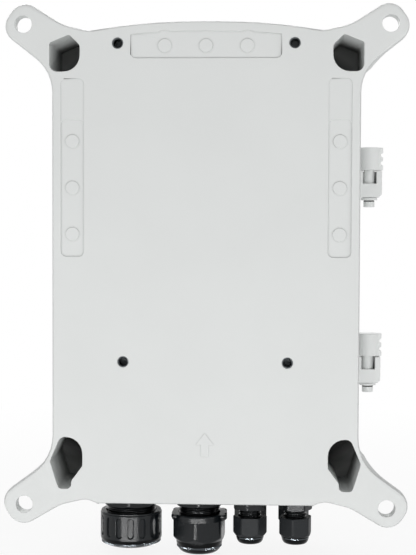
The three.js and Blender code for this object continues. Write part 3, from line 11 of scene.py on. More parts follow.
import bmesh
import bpy
import numpy as np
from mathutils import Euler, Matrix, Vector

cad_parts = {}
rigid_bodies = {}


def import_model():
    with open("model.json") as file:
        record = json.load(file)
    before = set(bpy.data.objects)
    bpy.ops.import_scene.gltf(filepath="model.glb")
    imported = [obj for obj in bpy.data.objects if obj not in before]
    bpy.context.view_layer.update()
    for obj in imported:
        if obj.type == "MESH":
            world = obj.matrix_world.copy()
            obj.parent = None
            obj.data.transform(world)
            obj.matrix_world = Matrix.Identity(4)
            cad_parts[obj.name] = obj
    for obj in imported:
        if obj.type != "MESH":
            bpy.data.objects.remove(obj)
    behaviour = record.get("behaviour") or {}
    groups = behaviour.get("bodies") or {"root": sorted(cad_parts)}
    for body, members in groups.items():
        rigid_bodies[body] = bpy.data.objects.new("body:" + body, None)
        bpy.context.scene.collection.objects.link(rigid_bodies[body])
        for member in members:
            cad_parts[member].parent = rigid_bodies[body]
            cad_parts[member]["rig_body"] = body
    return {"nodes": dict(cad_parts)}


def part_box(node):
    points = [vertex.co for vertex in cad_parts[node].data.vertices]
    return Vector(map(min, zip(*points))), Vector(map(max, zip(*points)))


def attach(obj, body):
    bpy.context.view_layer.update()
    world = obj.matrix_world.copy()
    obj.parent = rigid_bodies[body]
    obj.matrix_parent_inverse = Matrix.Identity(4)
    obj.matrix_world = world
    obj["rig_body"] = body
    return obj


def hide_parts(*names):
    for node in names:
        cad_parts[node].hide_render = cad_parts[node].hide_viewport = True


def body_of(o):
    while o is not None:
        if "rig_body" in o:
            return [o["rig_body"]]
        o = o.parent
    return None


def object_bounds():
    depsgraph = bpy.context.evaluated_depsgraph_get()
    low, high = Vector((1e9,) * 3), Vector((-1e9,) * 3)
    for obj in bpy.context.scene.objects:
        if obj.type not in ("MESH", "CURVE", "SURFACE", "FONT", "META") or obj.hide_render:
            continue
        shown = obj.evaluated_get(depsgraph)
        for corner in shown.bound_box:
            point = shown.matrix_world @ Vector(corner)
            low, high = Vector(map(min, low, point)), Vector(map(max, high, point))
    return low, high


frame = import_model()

cad_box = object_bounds()
nodes = frame["nodes"]
MM = 0.001

# %% [markdown]
# ## The camera
# The four bolt holes and the straight edges of the case say where the photographer stood: about a metre
# behind the box and a little to one side, with a lens a bit longer than normal. A camera could be aimed at
# the middle by hand, but then the box would sit a few pixels off where the photograph has it.

# %% Place the camera
CAMERA_PLACE = (-0.0425, 0.9708, 0.0293)
CAMERA_TURN = (87.785, -0.204, -177.616)
PHOTO_HEIGHT = 555
FOCAL_PIXELS = 1250
SENSOR = 36

scene = bpy.context.scene
camera_data = bpy.data.cameras.new("photo_camera")
camera_data.sensor_width = SENSOR
camera_data.lens = SENSOR * FOCAL_PIXELS / PHOTO_HEIGHT
camera = bpy.data.objects.new("photo_camera", camera_data)
camera.location = CAMERA_PLACE
camera.rotation_euler = Euler([math.radians(angle) for angle in CAMERA_TURN])
scene.collection.objects.link(camera)
scene.camera = camera
scene.view_settings.view_transform = "Standard"
print("lens", round(camera_data.lens, 1), "mm")

# %% [markdown]
# ## Shader maths as plain expressions
# A finish is easier to read as `base * (1 - mask)` than as a list of nodes and wires. The small class below
# wraps one socket, and its operators add the Math nodes. Everything else comes from one method, which takes
# a node's type, its settings and its inputs.


# %% A socket that does arithmetic
class Wire:
    """One value in a material. Adding, taking away, multiplying or dividing it adds a Math node."""

    def __init__(self, finish, socket):
        self.finish, self.socket = finish, socket

    def maths(self, operation, *values, clamp=False):
        settings = {"operation": operation, "use_clamp": clamp}
        return self.finish.node("ShaderNodeMath", settings, dict(enumerate(values)))

    def __add__(self, other):
        return self.maths("ADD", self, other)

    def __sub__(self, other):
        return self.maths("SUBTRACT", self, other)

    def __rsub__(self, other):
        return self.maths("SUBTRACT", other, self)

    def __mul__(self, other):
        return self.maths("MULTIPLY", self, other)

    def __truediv__(self, other):
        return self.maths("DIVIDE", self, other)

    def __gt__(self, other):
        return self.maths("GREATER_THAN", self, other)

    def size(self):
        return self.maths("ABSOLUTE", self)

    def clamped(self):
        return self.maths("ADD", self, 0.0, clamp=True)

    def wave(self):
        return self.maths("SINE", self)

    __radd__, __rmul__ = __add__, __mul__


SEEN_RAYS = ("Is Camera Ray", "Is Glossy Ray", "Is Transmission Ray")


class Network:
    """The nodes of one material, or of the world, while they are being written."""

    def __init__(self, tree):
        self.tree = tree
        tree.nodes.clear()

    def node(self, kind, settings, inputs, output=0):
        """Adds a node of a kind, makes its settings, then fills or links its inputs."""
        made = self.tree.nodes.new(kind)
        for name, value in settings.items():
            setattr(made, name, value)
        for name, value in inputs.items():
            self.fill(made.inputs[name], value)
        return Wire(self, made.outputs[output]) if made.outputs else None

    def fill(self, socket, value):
        if isinstance(value, Wire):
            self.tree.links.new(value.socket, socket)
        else:
            socket.default_value = value

    def place(self):
        return self.node("ShaderNodeTexCoord", {}, {}, output="Object")

    def seen(self):
        """1 for the rays of the camera, of gloss and of glass, else 0."""
        camera, gloss, glass = (self.node("ShaderNodeLightPath", {}, {}, output=ray) for ray in SEEN_RAYS)
        return camera.maths("MAXIMUM", camera.maths("MAXIMUM", camera, gloss), glass)

    def blend(self, share, one, other, end):
        """Ends the tree with a mix of two shaders."""
        self.node(end, {}, {0: self.node("ShaderNodeMixShader", {}, {0: share, 1: one, 2: other})})


class Finish(Network):
    """A material that is being written, with a Principled shader at its end."""

    def __init__(self, name, colour, roughness, metallic=0.0):
        self.material = bpy.data.materials.new(name)
        self.material.use_nodes = True
        super().__init__(self.material.node_tree)
        self.colour = linear(colour)
        self.shader = self.tree.nodes.new("ShaderNodeBsdfPrincipled")
        end = self.tree.nodes.new("ShaderNodeOutputMaterial")
        self.tree.links.new(self.shader.outputs[0], end.inputs[0])
        self.set("Base Color", self.colour)
        self.set("Roughness", roughness)
        self.set("Metallic", metallic)
        self.here = self.place()

    def set(self, name, value):
        self.fill(self.shader.inputs[name], value)

    def axis(self, name):
        return self.node("ShaderNodeSeparateXYZ", {}, {0: self.here}, output=name)

    def mix(self, share, one, other):
        """A colour between two others."""
        settings = {"data_type": "RGBA", "clamp_factor": True}
        return self.node("ShaderNodeMix", settings, {0: share, 6: one, 7: other}, output=2)

    def noise(self, scale, detail=2.0, stretch=(1.0, 1.0, 1.0)):
        place = self.node("ShaderNodeMapping", {}, {0: self.here, "Scale": stretch})
        return self.node("ShaderNodeTexNoise", {}, {"Vector": place, "Scale": scale, "Detail": detail})

    def openness(self, distance):
        """1 on open surfaces, less in corners and hollows that are no wider than a distance."""
        settings = {"samples": 6, "only_local": True}
        return self.node("ShaderNodeAmbientOcclusion", settings, {"Distance": distance}, output="AO")

    def closed_in(self, distance, below, contrast=6.0):
        """1 in hollows whose openness is well below a share, 0 in the open."""
        return ((below - self.openness(distance)) * contrast).clamped()

    def drawn(self, name):
        """The value of an attribute that a piece carries at each of its points."""
        return self.node("ShaderNodeAttribute", {"attribute_name": name}, {}, output="Fac")

    def bump(self, height, distance, strength=1.0):
        inputs = {"Height": height, "Distance": distance, "Strength": strength}
        self.set("Normal", self.node("ShaderNodeBump", {}, inputs))


def linear(colour):
    """A colour as it looks on a screen, in 0 to 255, as the light that it stands for."""
    share = np.array(colour) / 255
    light = np.where(share <= 0.04045, share / 12.92, ((share + 0.055) / 1.055) ** 2.4)
    return (*light.tolist(), 1.0)


def shade(colour, share):
    """The same colour with its light multiplied by a share."""
    return tuple(part * share for part in colour[:3]) + (1.0,)


# %% [markdown]
# ## Floor, backdrop and light
# The photograph shows the box on plain white. A lamp strong enough to burn a grey backdrop out would burn
# the pale case out too, so the white is painted for the camera and for reflections alone, and the floor
# still takes the shadow. Large soft lamps at both sides, above and in front stand for a studio's boxes, and
# the one at the photograph's right is the strongest, because the paler edges are on that side. One lamp
# shines up from below the floor, which lets it through as glass would: it brightens the lower half of the
# case and draws the highlights on the black glands. A mirrored ray would stop at the floor before it met
# that lamp, so the lamp is only looked for directly.

# %% Light the studio
AMBIENT = 0.37
LAMPS = {
    "left_lamp": {"at": (1.7, 0.9, 0.1), "size": (0.9, 0.6), "power": 1.2},
    "right_lamp": {"at": (-1.7, 0.9, 0.1), "size": (0.9, 0.6), "power": 4.6},
    "top_lamp": {"at": (0.0, 0.9, 1.7), "size": (1.2, 0.8), "power": 1.0},
    "front_lamp": {"at": (-0.1, 1.8, 0.3), "size": (1.2, 0.8), "power": 2.0},
    "low_lamp": {"at": (0.1, 1.35, -0.56), "size": (1.7, 0.12), "power": 12.0},
    "far_lamp": {"at": (0.4, -2.0, 0.9), "size": (1.4, 1.4), "power": 22.0},
}
WHITE = (1.0, 1.0, 1.0, 1.0)
PAPER = (0.9, 0.9, 0.9, 1.0)


def soft_lamp(name, at, size, power):
    """A rectangular lamp that looks at the middle of the box."""
    lamp = bpy.data.lights.new(name, "AREA")
    lamp.shape = "RECTANGLE"
    lamp.size, lamp.size_y = size
    lamp.energy = power
    holder = bpy.data.objects.new(name, lamp)
    holder.location = at
    holder.rotation_euler = Vector(at).to_track_quat("Z", "Y").to_euler()
    holder.visible_camera = False
    lamp.cycles.use_multiple_importance_sampling = at[2] > cad_box[0].z
    scene.collection.objects.link(holder)


for name, lamp in LAMPS.items():
    soft_lamp(name, **lamp)

scene.world = bpy.data.worlds.new("studio")
scene.world.use_nodes = True
sky = Network(scene.world.node_tree)
dim, white = (
    sky.node("ShaderNodeBackground", {}, {"Color": WHITE, "Strength": strength})
    for strength in (AMBIENT, 1.0)
)
sky.blend(sky.seen(), dim, white, "ShaderNodeOutputWorld")
print(len(LAMPS), "lamps")

# %% Lay the floor
FLOOR_GAP = 0.0004
FLOOR_HALF = 6.0
SHADOW_SHARE = 0.12
SHADOW_NEAR, SHADOW_FADE = 0.25, 0.7

low = cad_box[0].z - FLOOR_GAP
corners = [(x * FLOOR_HALF, y * FLOOR_HALF, low) for x, y in ((-1, -1), (1, -1), (1, 1), (-1, 1))]
floor_mesh = bpy.data.meshes.new("floor")
floor_mesh.from_pydata(corners, [], [(0, 1, 2, 3)])
floor = bpy.data.objects.new("floor", floor_mesh)
scene.collection.objects.link(floor)
material = bpy.data.materials.new("pale_floor")
material.use_nodes = True
paper = Network(material.node_tree)
matt = paper.node("ShaderNodeBsdfDiffuse", {}, {"Color": PAPER})
glow = paper.node("ShaderNodeEmission", {}, {"Color": WHITE, "Strength": 1.0})
far = paper.node("ShaderNodeVectorMath", {"operation": "LENGTH"}, {0: paper.place()}, output="Value")
shadow = SHADOW_SHARE * (1.0 - ((far - SHADOW_NEAR) / SHADOW_FADE).clamped())
paper.blend(paper.seen() * (1.0 - shadow), matt, glow, "ShaderNodeOutputMaterial")
floor_mesh.materials.append(material)
floor.visible_shadow = False
print("floor at", round(low, 4))

# %% [markdown]
# ## The shell's plastic
# The case, door and hinges are moulded from one pale grey plastic. Its mould was spark eroded, which leaves a
# fine even grain, and a large moulding is never quite the same tone all over. The tone moves by a few percent
# over the width of a hand, and the grain is under a millimetre. Painted shade darkens the inner corners, the
# four wells with depth and toward the middle of the case, and the narrow slots of the hinges.

# %% Shell grey
EDGE_REACH = 1.8 * MM
EDGE_SHADE_SHARE = 0.65
WELL_REACH = 45 * MM
WELL_MOUTH, WELL_FLOOR = 30 * MM, 66 * MM
WELL_OUTER_CORNER, WELL_ACROSS = 202 * MM, 34 * MM
WELL_SIDE, WELL_BOTTOM = 95.5 * MM, 64 * MM
WELL_SHADE_SHARE = 0.005
SHELL_GLOSS = 0.2
WELL_OPENNESS, SLOT_OPENNESS = 0.62, 0.64
SLOT_REACH = 6 * MM
SLOT_SHADE_SHARE = 0.03

finishes = {}


def moulded(name, colour, roughness, grain=0.04, tone=0.03):
    """Moulded plastic: tone moves by a few hundredths, roughness too, and a fine grain feeds the bump."""
    made = Finish(name, colour, roughness)
    patches = made.noise(14.0)
    base = made.mix(patches, shade(made.colour, 1 - tone), shade(made.colour, 1 + tone))
    made.set("Roughness", roughness - 0.05 + 0.1 * made.noise(60.0))
    made.bump(made.noise(1300.0, 3.0) + 0.6 * made.noise(420.0), grain * MM)
    made.set("Base Color", base)
    finishes[name] = made.material
    return made, base


def lined(name, colour, roughness):
    """The shell's plastic, with painted shade along its inner corners."""
    made, base = moulded(name, colour, roughness)
    # Painted shade: the colour darkens wherever an inner corner is near.
    corner_shaded = made.mix(made.openness(EDGE_REACH), shade(made.colour, EDGE_SHADE_SHARE), base)
    made.set("Base Color", corner_shaded)
    return made, corner_shaded


made, corner_shaded = lined("shell_grey", (219, 221, 220), 0.5)
# Painted shade: in the wells the colour goes near black with depth and toward the middle of the case.
closed_in = made.closed_in(WELL_REACH, WELL_OPENNESS)
flat = made.node("ShaderNodeVectorMath", {"operation": "MULTIPLY"}, {0: made.here, 1: (1.0, 0.0, 1.0)})
from_middle = made.node("ShaderNodeVectorMath", {"operation": "LENGTH"}, {0: flat}, output="Value")
inward = ((WELL_OUTER_CORNER - from_middle) / WELL_ACROSS).clamped()
deep = (-1.0 * (made.axis("Y") + WELL_MOUTH) / (WELL_FLOOR - WELL_MOUTH)).clamped()
in_a_well = (made.axis("X").size() > WELL_SIDE) * (made.axis("Y") > -WELL_BOTTOM)
painted_shade = closed_in * in_a_well * (deep * (0.7 + 0.9 * inward)).clamped()
made.set("Base Color", made.mix(painted_shade, corner_shaded, shade(made.colour, WELL_SHADE_SHARE)))
made.set("Specular IOR Level", SHELL_GLOSS)
made, corner_shaded = lined("hinge_grey", (232, 234, 233), 0.45)
# Painted shade: the hinges' narrow slots are painted near black.
slot = made.closed_in(SLOT_REACH, SLOT_OPENNESS)
made.set("Base Color", made.mix(slot, corner_shaded, shade(made.colour, SLOT_SHADE_SHARE)))
print("made", *finishes)

# %% [markdown]
# ## Black nylon and rubber
# Cable glands are glass filled nylon: nearly black, a little blue, with a satin skin. Fibres near the skin
# give it fine mottling. Threads and domes are smoother than the flats and painted darker, as painted
# shade; a band round each dome gets a paler, metal-like colour as a painted glint, and the small nuts are
# duller. Every gland piece carries this along its profile as three shares: polish with painted shade,
# painted glint, and matt. The sealing rings are rubber, which is duller still.

# %% Gland black, rubber
made, satin = moulded("gland_black", (16, 20, 23), 0.3, grain=0.02, tone=0.12)
polish, glint = made.drawn("polish"), made.drawn("glint")
# Painted shade: threads, domes and bores get a near-black colour and a metal setting that dims their
# reflections.
painted_shade = made.mix(polish, satin, linear((7, 8, 9)))
# Painted glint: the band round each dome gets a paler, metal-like colour.
made.set("Base Color", made.mix(glint, painted_shade, linear((76, 80, 83))))
made.set("Roughness", 0.18 + 0.12 * made.noise(700.0) - 0.04 * polish + 0.3 * made.drawn("matt"))
made.set("Metallic", (0.7 * polish + glint).clamped())
made.set("Specular IOR Level", 0.3)
moulded("seal_black", (30, 31, 32), 0.8, grain=0.1, tone=0.1)
moulded("device_grey", (201, 203, 200), 0.55)
moulded("carrier_grey", (169, 173, 171), 0.5)
moulded("knob_red", (176, 34, 28), 0.4)
moulded("cartridge_orange", (200, 104, 36), 0.5)
moulded("lead_red", (165, 33, 28), 0.5, grain=0.03)
moulded("lead_black", (34, 35, 37), 0.5, grain=0.03)

# %% [markdown]
# ## Bare and plated metal
# Zinc plating has a cloudy crystal pattern, drawn here with a cell texture. The inserts and latches have a
# darker plating, which is painted near black down a hole as painted shade. Rolled copper and brass carry
# fine lines along the rolling direction, so their noise is stretched along one axis.


# %% Metals
HOLE_REACH = 8 * MM
HOLE_OPENNESS, HOLE_CONTRAST = 0.42, 4.0
HOLE_SHADE_SHARE = 0.02


def plated(name, colour, roughness, cell=220.0):
    """Zinc plating: each crystal has its own tone and gloss."""
    made = Finish(name, colour, roughness, metallic=1.0)
    cells = made.node("ShaderNodeTexVoronoi", {}, {"Vector": made.here, "Scale": cell}, output="Color")
    tone = made.node("ShaderNodeSeparateColor", {}, {0: cells})
    made.set("Base Color", made.mix(tone, shade(made.colour, 0.93), shade(made.colour, 1.06)))
    made.set("Roughness", roughness + 0.12 * tone + 0.08 * made.noise(900.0))
    made.bump(made.noise(700.0, 3.0), 0.02 * MM)
    finishes[name] = made.material
    return made


def rolled(name, colour, roughness):
    """Rolled metal: fine lines along x, with a slow change of tone."""
    made = Finish(name, colour, roughness, metallic=1.0)
    lines = made.noise(400.0, 3.0, (0.04, 1.0, 1.0))
    cloud = made.noise(45.0)
    made.set("Base Color", made.mix(cloud, shade(made.colour, 0.8), shade(made.colour, 1.12)))
    made.set("Roughness", roughness + 0.15 * lines)
    made.bump(lines, 0.03 * MM)
    finishes[name] = made.material


plated("zinc_steel", (190, 193, 195), 0.3)
made = plated("dark_zinc", (112, 116, 118), 0.32, cell=500.0)
# Painted shade: the plating is painted near black deep in holes.
hole_shade = made.closed_in(HOLE_REACH, HOLE_OPENNESS, HOLE_CONTRAST)
made.set("Base Color", made.mix(hole_shade, made.colour, shade(made.colour, HOLE_SHADE_SHARE)))
rolled("bare_copper", (186, 117, 82), 0.3)
rolled("bare_brass", (196, 165, 92), 0.3)

# %% [markdown]
# ## Earth lead and fuse links
# The earth lead has the two colours that every electrician knows, green with a yellow stripe. A fuse link
# is a ceramic tube between two plated caps.

# %% Two-tone finishes
made, green = moulded("lead_green", (70, 140, 52), 0.5, grain=0.03)
stripe = (made.axis("X") * 900.0 + made.axis("Y") * 1300.0).wave() > 0.25
made.set("Base Color", made.mix(stripe, green, linear((206, 190, 52))))

CAP_LENGTH = 10 * MM
link_low, link_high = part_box("fuse_link_1")
made, ceramic = moulded("ceramic_white", (236, 233, 224), 0.28, grain=0.02)
off_middle = (made.axis("Z") - (link_low.z + link_high.z) / 2).size()
capped = off_middle > (link_high.z - link_low.z) / 2 - CAP_LENGTH
made.set("Base Color", made.mix(capped, ceramic, linear((196, 198, 200))))
made.set("Metallic", capped)
print(len(finishes), "finishes")

# %% [markdown]
# ## Pieces that keep their solid's shape
# The case, door, rails and most devices are already the right shape. What a solid lacks is the small
# rounding that every moulded or sheared edge has and that catches the light. A copy of its mesh is merged,
# its flat triangles are joined, and a Bevel rounds the edges. A remesh would round them too, but it would
# need millions of faces to keep a wall straight.


# %% Round the edges of a copy
def dress(piece, finish, body, stands_for=()):
    """Gives a piece its finish and the body it rides on, and hides the nodes it stands for."""
    piece.data.materials.clear()
    piece.data.materials.append(finishes[finish])
    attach(piece, body)
    if stands_for:
        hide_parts(*stands_for)
    return piece


def merged_copy(node, name):
    """A node's mesh as a new object, with its loose triangles merged and its flat ones joined."""
    mesh = bpy.data.meshes.new(name)
    work = bmesh.new()
    work.from_mesh(nodes[node].data)
    bmesh.ops.remove_doubles(work, verts=work.verts, dist=2e-6)
    bmesh.ops.dissolve_limit(work, angle_limit=math.radians(0.5), verts=work.verts, edges=work.edges)
    work.to_mesh(mesh)
    work.free()
    piece = bpy.data.objects.new(name, mesh)
    scene.collection.objects.link(piece)
    return piece


SHARP_ANGLE = 32


def read(things, name, kind, width=1):
    """A property of many mesh elements as one array."""
    values = np.empty(len(things) * width, kind)
    things.foreach_get(name, values)
    return values.reshape(-1, width) if width > 1 else values


def mark_sharp(mesh, angle):
    """Shades a closed mesh smooth but for its sharp edges, where the normals n and m of the two faces have
    n . m below the cosine of the angle. Returns 1 for each sharp edge and 0 for the others."""
    mesh.shade_smooth()
    face_of_corner = np.repeat(np.arange(len(mesh.polygons)), read(mesh.polygons, "loop_total", int))
    by_edge = np.argsort(read(mesh.loops, "edge_index", int), kind="stable")
    one, other = face_of_corner[by_edge].reshape(-1, 2).T
    normals = read(mesh.polygons, "normal", float, 3)
    sharp = (normals[one] * normals[other]).sum(axis=1) < math.cos(math.radians(angle))
    mesh.attributes.new("sharp_edge", "BOOLEAN", "EDGE").data.foreach_set("value", sharp)
    return sharp


def room_at_edges(mesh):
    """How wide an edge can be rounded: at each end, the shortest edge that meets there, times the fourth
    power of the sine of the narrowest face corner there. The smaller end counts."""
    places = read(mesh.vertices, "co", float, 3)
    ends = read(mesh.edges, "vertices", int, 2)
    lengths = np.linalg.norm(places[ends[:, 0]] - places[ends[:, 1]], axis=1)
    room = np.full(len(places), np.inf)
    np.minimum.at(room, ends.ravel(), np.repeat(lengths, 2))
    corner = read(mesh.loops, "vertex_index", int)
    first, count = read(mesh.polygons, "loop_start", int), read(mesh.polygons, "loop_total", int)
    onward = np.arange(len(corner)) + 1
    onward[first + count - 1] = first
    back = np.argsort(onward)
    one, two = places[corner[onward]] - places[corner], places[corner[back]] - places[corner]
    cosine = (one * two).sum(axis=1) / np.linalg.norm(one, axis=1) / np.linalg.norm(two, axis=1)
    narrow = np.where(cosine > 0, 1 - cosine**2, 1)
    squared_sine = np.ones(len(places))
    np.minimum.at(squared_sine, corner, narrow)
    return (room * squared_sine**2)[ends].min(axis=1)


BEVEL_SEGMENTS = 2


def soften(node, width, finish):
    """Replaces a node by a copy with edges rounded over a width in millimetres, or less where there is less
    room."""
    piece = merged_copy(node, f"{node}_moulding")
    mesh = piece.data
    sharp = mark_sharp(mesh, SHARP_ANGLE)
    weights = sharp * np.clip(room_at_edges(mesh) / (2.5 * width * MM), 0, 1)
    mesh.attributes.new("bevel_weight_edge", "FLOAT", "EDGE").data.foreach_set("value", weights)
    bevel = piece.modifiers.new("rounded_edges", "BEVEL")
    bevel.width = width * MM
    bevel.segments = BEVEL_SEGMENTS
    bevel.limit_method = "WEIGHT"
    bevel.loop_slide = False
    bevel.use_clamp_overlap = False
    even = piece.modifiers.new("even_shading", "WEIGHTED_NORMAL")
    even.mode = "FACE_AREA"
    even.weight = 100
    even.keep_sharp = True
    return dress(piece, finish, body_of(nodes[node])[0], (node,))


case_moulding = soften("case", 0.25, "shell_grey")
soften("door", 0.4, "shell_grey")
for where in ("upper", "lower"):
    soften(f"hinge_fork_{where}", 0.5, "hinge_grey")
    soften(f"hinge_knuckle_{where}", 0.5, "hinge_grey")
    soften(f"hinge_pin_{where}", 0.4, "hinge_grey")
    soften(f"latch_knob_{where}", 0.3, "dark_zinc")
    soften(f"latch_cam_{where}", 0.3, "zinc_steel")
print("case has", len(case_moulding.data.polygons), "faces before its edges are rounded")

# %% [markdown]
# ## Everything on the plate
# The plate, rails and devices inside are sheet metal and small mouldings. They get the same treatment with
# a finer rounding.

# %% Soften the inside
INSIDE = {
    "zinc_steel": ["mounting_plate", "rail_upper", "rail_lower"],
    "device_grey": ["arrester_base", "isolator_body", *(f"fuse_base_{i}" for i in range(1, 5))],
    "carrier_grey": [f"fuse_carrier_{i}" for i in range(1, 5)],
    "ceramic_white": [f"fuse_link_{i}" for i in range(1, 5)],
    "cartridge_orange": ["arrester_cartridge_positive", "arrester_cartridge_negative"],
    "knob_red": ["isolator_knob"],
    "bare_copper": ["positive_busbar", "negative_busbar"],
    "bare_brass": ["earth_bar"],
    "seal_black": ["door_gasket"],
}
for slot_name, members in INSIDE.items():
    for member in members:
        soften(member, 0.25, slot_name)
print(sum(map(len, INSIDE.values())), "pieces inside")

# %% [markdown]
# ## Surfaces from formulas
# A cable gland is a turned part with flats, threads and grooves in it. Each of its pieces is one surface: a
# row for each step along its profile, a column for each angle. The radius of every point is worked out in
# one go as an array, which is exact, quick, and easy to change.


# %% Skin a grid
def around(radius, height, columns):
    """Points x = r cos a, y = r sin a, z = h for each row's height h and each column's angle a."""
    angle = np.linspace(0, 2 * np.pi, columns, endpoint=False)
    radius = np.broadcast_to(radius, (len(height), columns))
    height = np.broadcast_to(np.reshape(height, (-1, 1)), radius.shape)
    return np.stack([radius * np.cos(angle), radius * np.sin(angle), height], axis=-1)


def quads(rows, columns, ring):
    """Corner numbers of the faces between neighbouring rows and columns. Columns close on themselves."""
    index = np.arange(rows * columns).reshape(rows, columns)
    onward = np.roll(index, -1, axis=1)
    last = rows if ring else rows - 1
    above, above_onward = np.roll(index, -1, axis=0), np.roll(onward, -1, axis=0)
    faces = np.stack([index, onward, above_onward, above], axis=-1)[:last]
    return faces.reshape(-1, 4)


def skin(name, shells, smooth_angle=35, **shares):
    """A mesh over grids in millimetres. A shell is (grid, ring): a ring's last row joins its first, and the
    two ends of any other shell are closed by a fan from the row's middle. Shares, such as polish, become
    attributes and give one value for each row of a single ring."""
    points, faces, start = [], [], 0
    for grid, ring in shells:
        rows, columns = grid.shape[:2]
        points.append(grid.reshape(-1, 3))
        faces += (quads(rows, columns, ring) + start).tolist()
        if not ring:
            points.append(grid[[0, -1]].mean(axis=1))
            near = start + np.arange(columns)
            for row, middle in ((near, rows * columns), (near + (rows - 1) * columns, rows * columns + 1)):
                fan = np.stack([row, np.roll(row, -1), np.full(columns, start + middle)], axis=-1)
                faces += fan.tolist()
        start += sum(map(len, points[-1:] if ring else points[-2:]))
    mesh = bpy.data.meshes.new(name)
    mesh.from_pydata(np.concatenate(points) * MM, [], faces)
    for share, per_row in shares.items():
        values = np.repeat(per_row, shells[0][0].shape[1]).astype(float)
        mesh.attributes.new(share, "FLOAT", "POINT").data.foreach_set("value", values)
    work = bmesh.new()
    work.from_mesh(mesh)
    bmesh.ops.remove_doubles(work, verts=work.verts, dist=1e-6)
    bmesh.ops.recalc_face_normals(work, faces=work.faces)
    work.to_mesh(mesh)
    work.free()
    mark_sharp(mesh, smooth_angle)
    piece = bpy.data.objects.new(name, mesh)
    scene.collection.objects.link(piece)
    return piece


def soft_least(one, other, width):
    """The smaller of two lengths, with the corner between them eased over a width."""
    apart = np.clip(0.5 + 0.5 * (other - one) / width, 0, 1)
    return other + (one - other) * apart - width * apart * (1 - apart)


def smooth(value):
    """Rises from 0 to 1 as the value does, level at both ends: 3 v^2 - 2 v^3."""
    share = np.clip(value, 0, 1)
    return share * share * (3 - 2 * share)


CORNER_POWER = 26


def hexagon(angle, flats, turn):
    """Radius of a hexagon with slightly eased corners. Each pair of faces limits it to (flats / 2) / |cos|
    of the angle from the pair, and a high power mean picks the nearest pair."""
    pairs = np.radians(turn + 30 + np.array([0, 60, 120]))
    nearness = np.abs(np.cos(angle[:, None] - pairs)) ** CORNER_POWER
    return flats / 2 / nearness.sum(axis=1) ** (1 / CORNER_POWER)


def path_rows(points, step):
    """A broken line of (radius, height) points, filled in so that no row is further on than a step."""
    points = np.array(points, float)
    spans = []
    for start, end in zip(points, points[1:]):
        rows = max(1, math.ceil(np.hypot(*(end - start)) / step))
        spans.append(start + (end - start) * np.linspace(0, 1, rows + 1)[:-1, None])
    return np.concatenate([*spans, points[-1:]])


print("a hexagon 24 across has corners at", hexagon(np.radians([0.0]), 24, 0).round(2))

# %% [markdown]
# ## Cable glands
# A gland is screwed into the case by its body: a hexagon against the case, a threaded neck below it, and a
# domed nut that squeezes a rubber ring onto the cable. All measures run down from the underside of the
# case. The nut's flats fade into the dome because the hexagon is cut off by a turned limit: at every point
# the smaller of the two radii counts, and that gives the curved edges that a real nut has.

# %% Gland sizes
SMALL = dict(thread=10, body=24, flange=7.6, neck=9, low=22.6, pitch=2.5, top=4.5,
             nut=24, nut_top=13.8, nut_low=28.8, dome=35, mouth=8, bore=5)
MIDDLE = dict(thread=16, body=35.6, flange=8.5, neck=16.8, low=26.5, pitch=3.0, top=12.8,
              nut=39.8, nut_top=14.8, nut_low=36.8, dome=47.2, mouth=12.5, bore=9.5)
LARGE = dict(thread=20, body=40.5, flange=8.5, neck=20.2, low=26.5, pitch=3.0, top=13.8,
             nut=50.2, nut_top=13.4, nut_low=36, dome=41.9, mouth=15, bore=12.5)
BODY_AND_NUT_TURNS = {
    "gland_small_1": (18, 0), "gland_small_2": (0, 18.8),
    "gland_small_3": (18, 0), "gland_small_4": (0, 18.8),
    "gland_middle": (30, 22.8), "gland_large": (30, 0),
}
COLUMNS = 240
THREAD_DEPTH = 0.8
CORNER_EASE = 0.8
WALL = 1.8
angles = np.linspace(0, 2 * np.pi, COLUMNS, endpoint=False)


def gland_axis(name, size):
    """Where a gland stands: the middle of its nut, at the underside of the case, in millimetres."""
    low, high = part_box(f"{name}_nut")
    return np.array([(low.x + high.x) / 2 / MM, (low.y + high.y) / 2 / MM, low.z / MM + size["dome"]])


def threaded(radius, height, pitch, top, low):
    """A helical thread: the radius dips by up to the thread's depth as a wave of height over pitch minus
    the angle's share of a turn, and fades out over half a pitch at both ends."""
    height = height[:, None]
    wave = 0.5 - 0.5 * np.cos(2 * np.pi * (height / pitch) - angles)
    fade = smooth((top - height) / pitch * 2) * smooth((height - low) / pitch * 2)
    return radius - THREAD_DEPTH * smooth(wave * 1.3) * fade


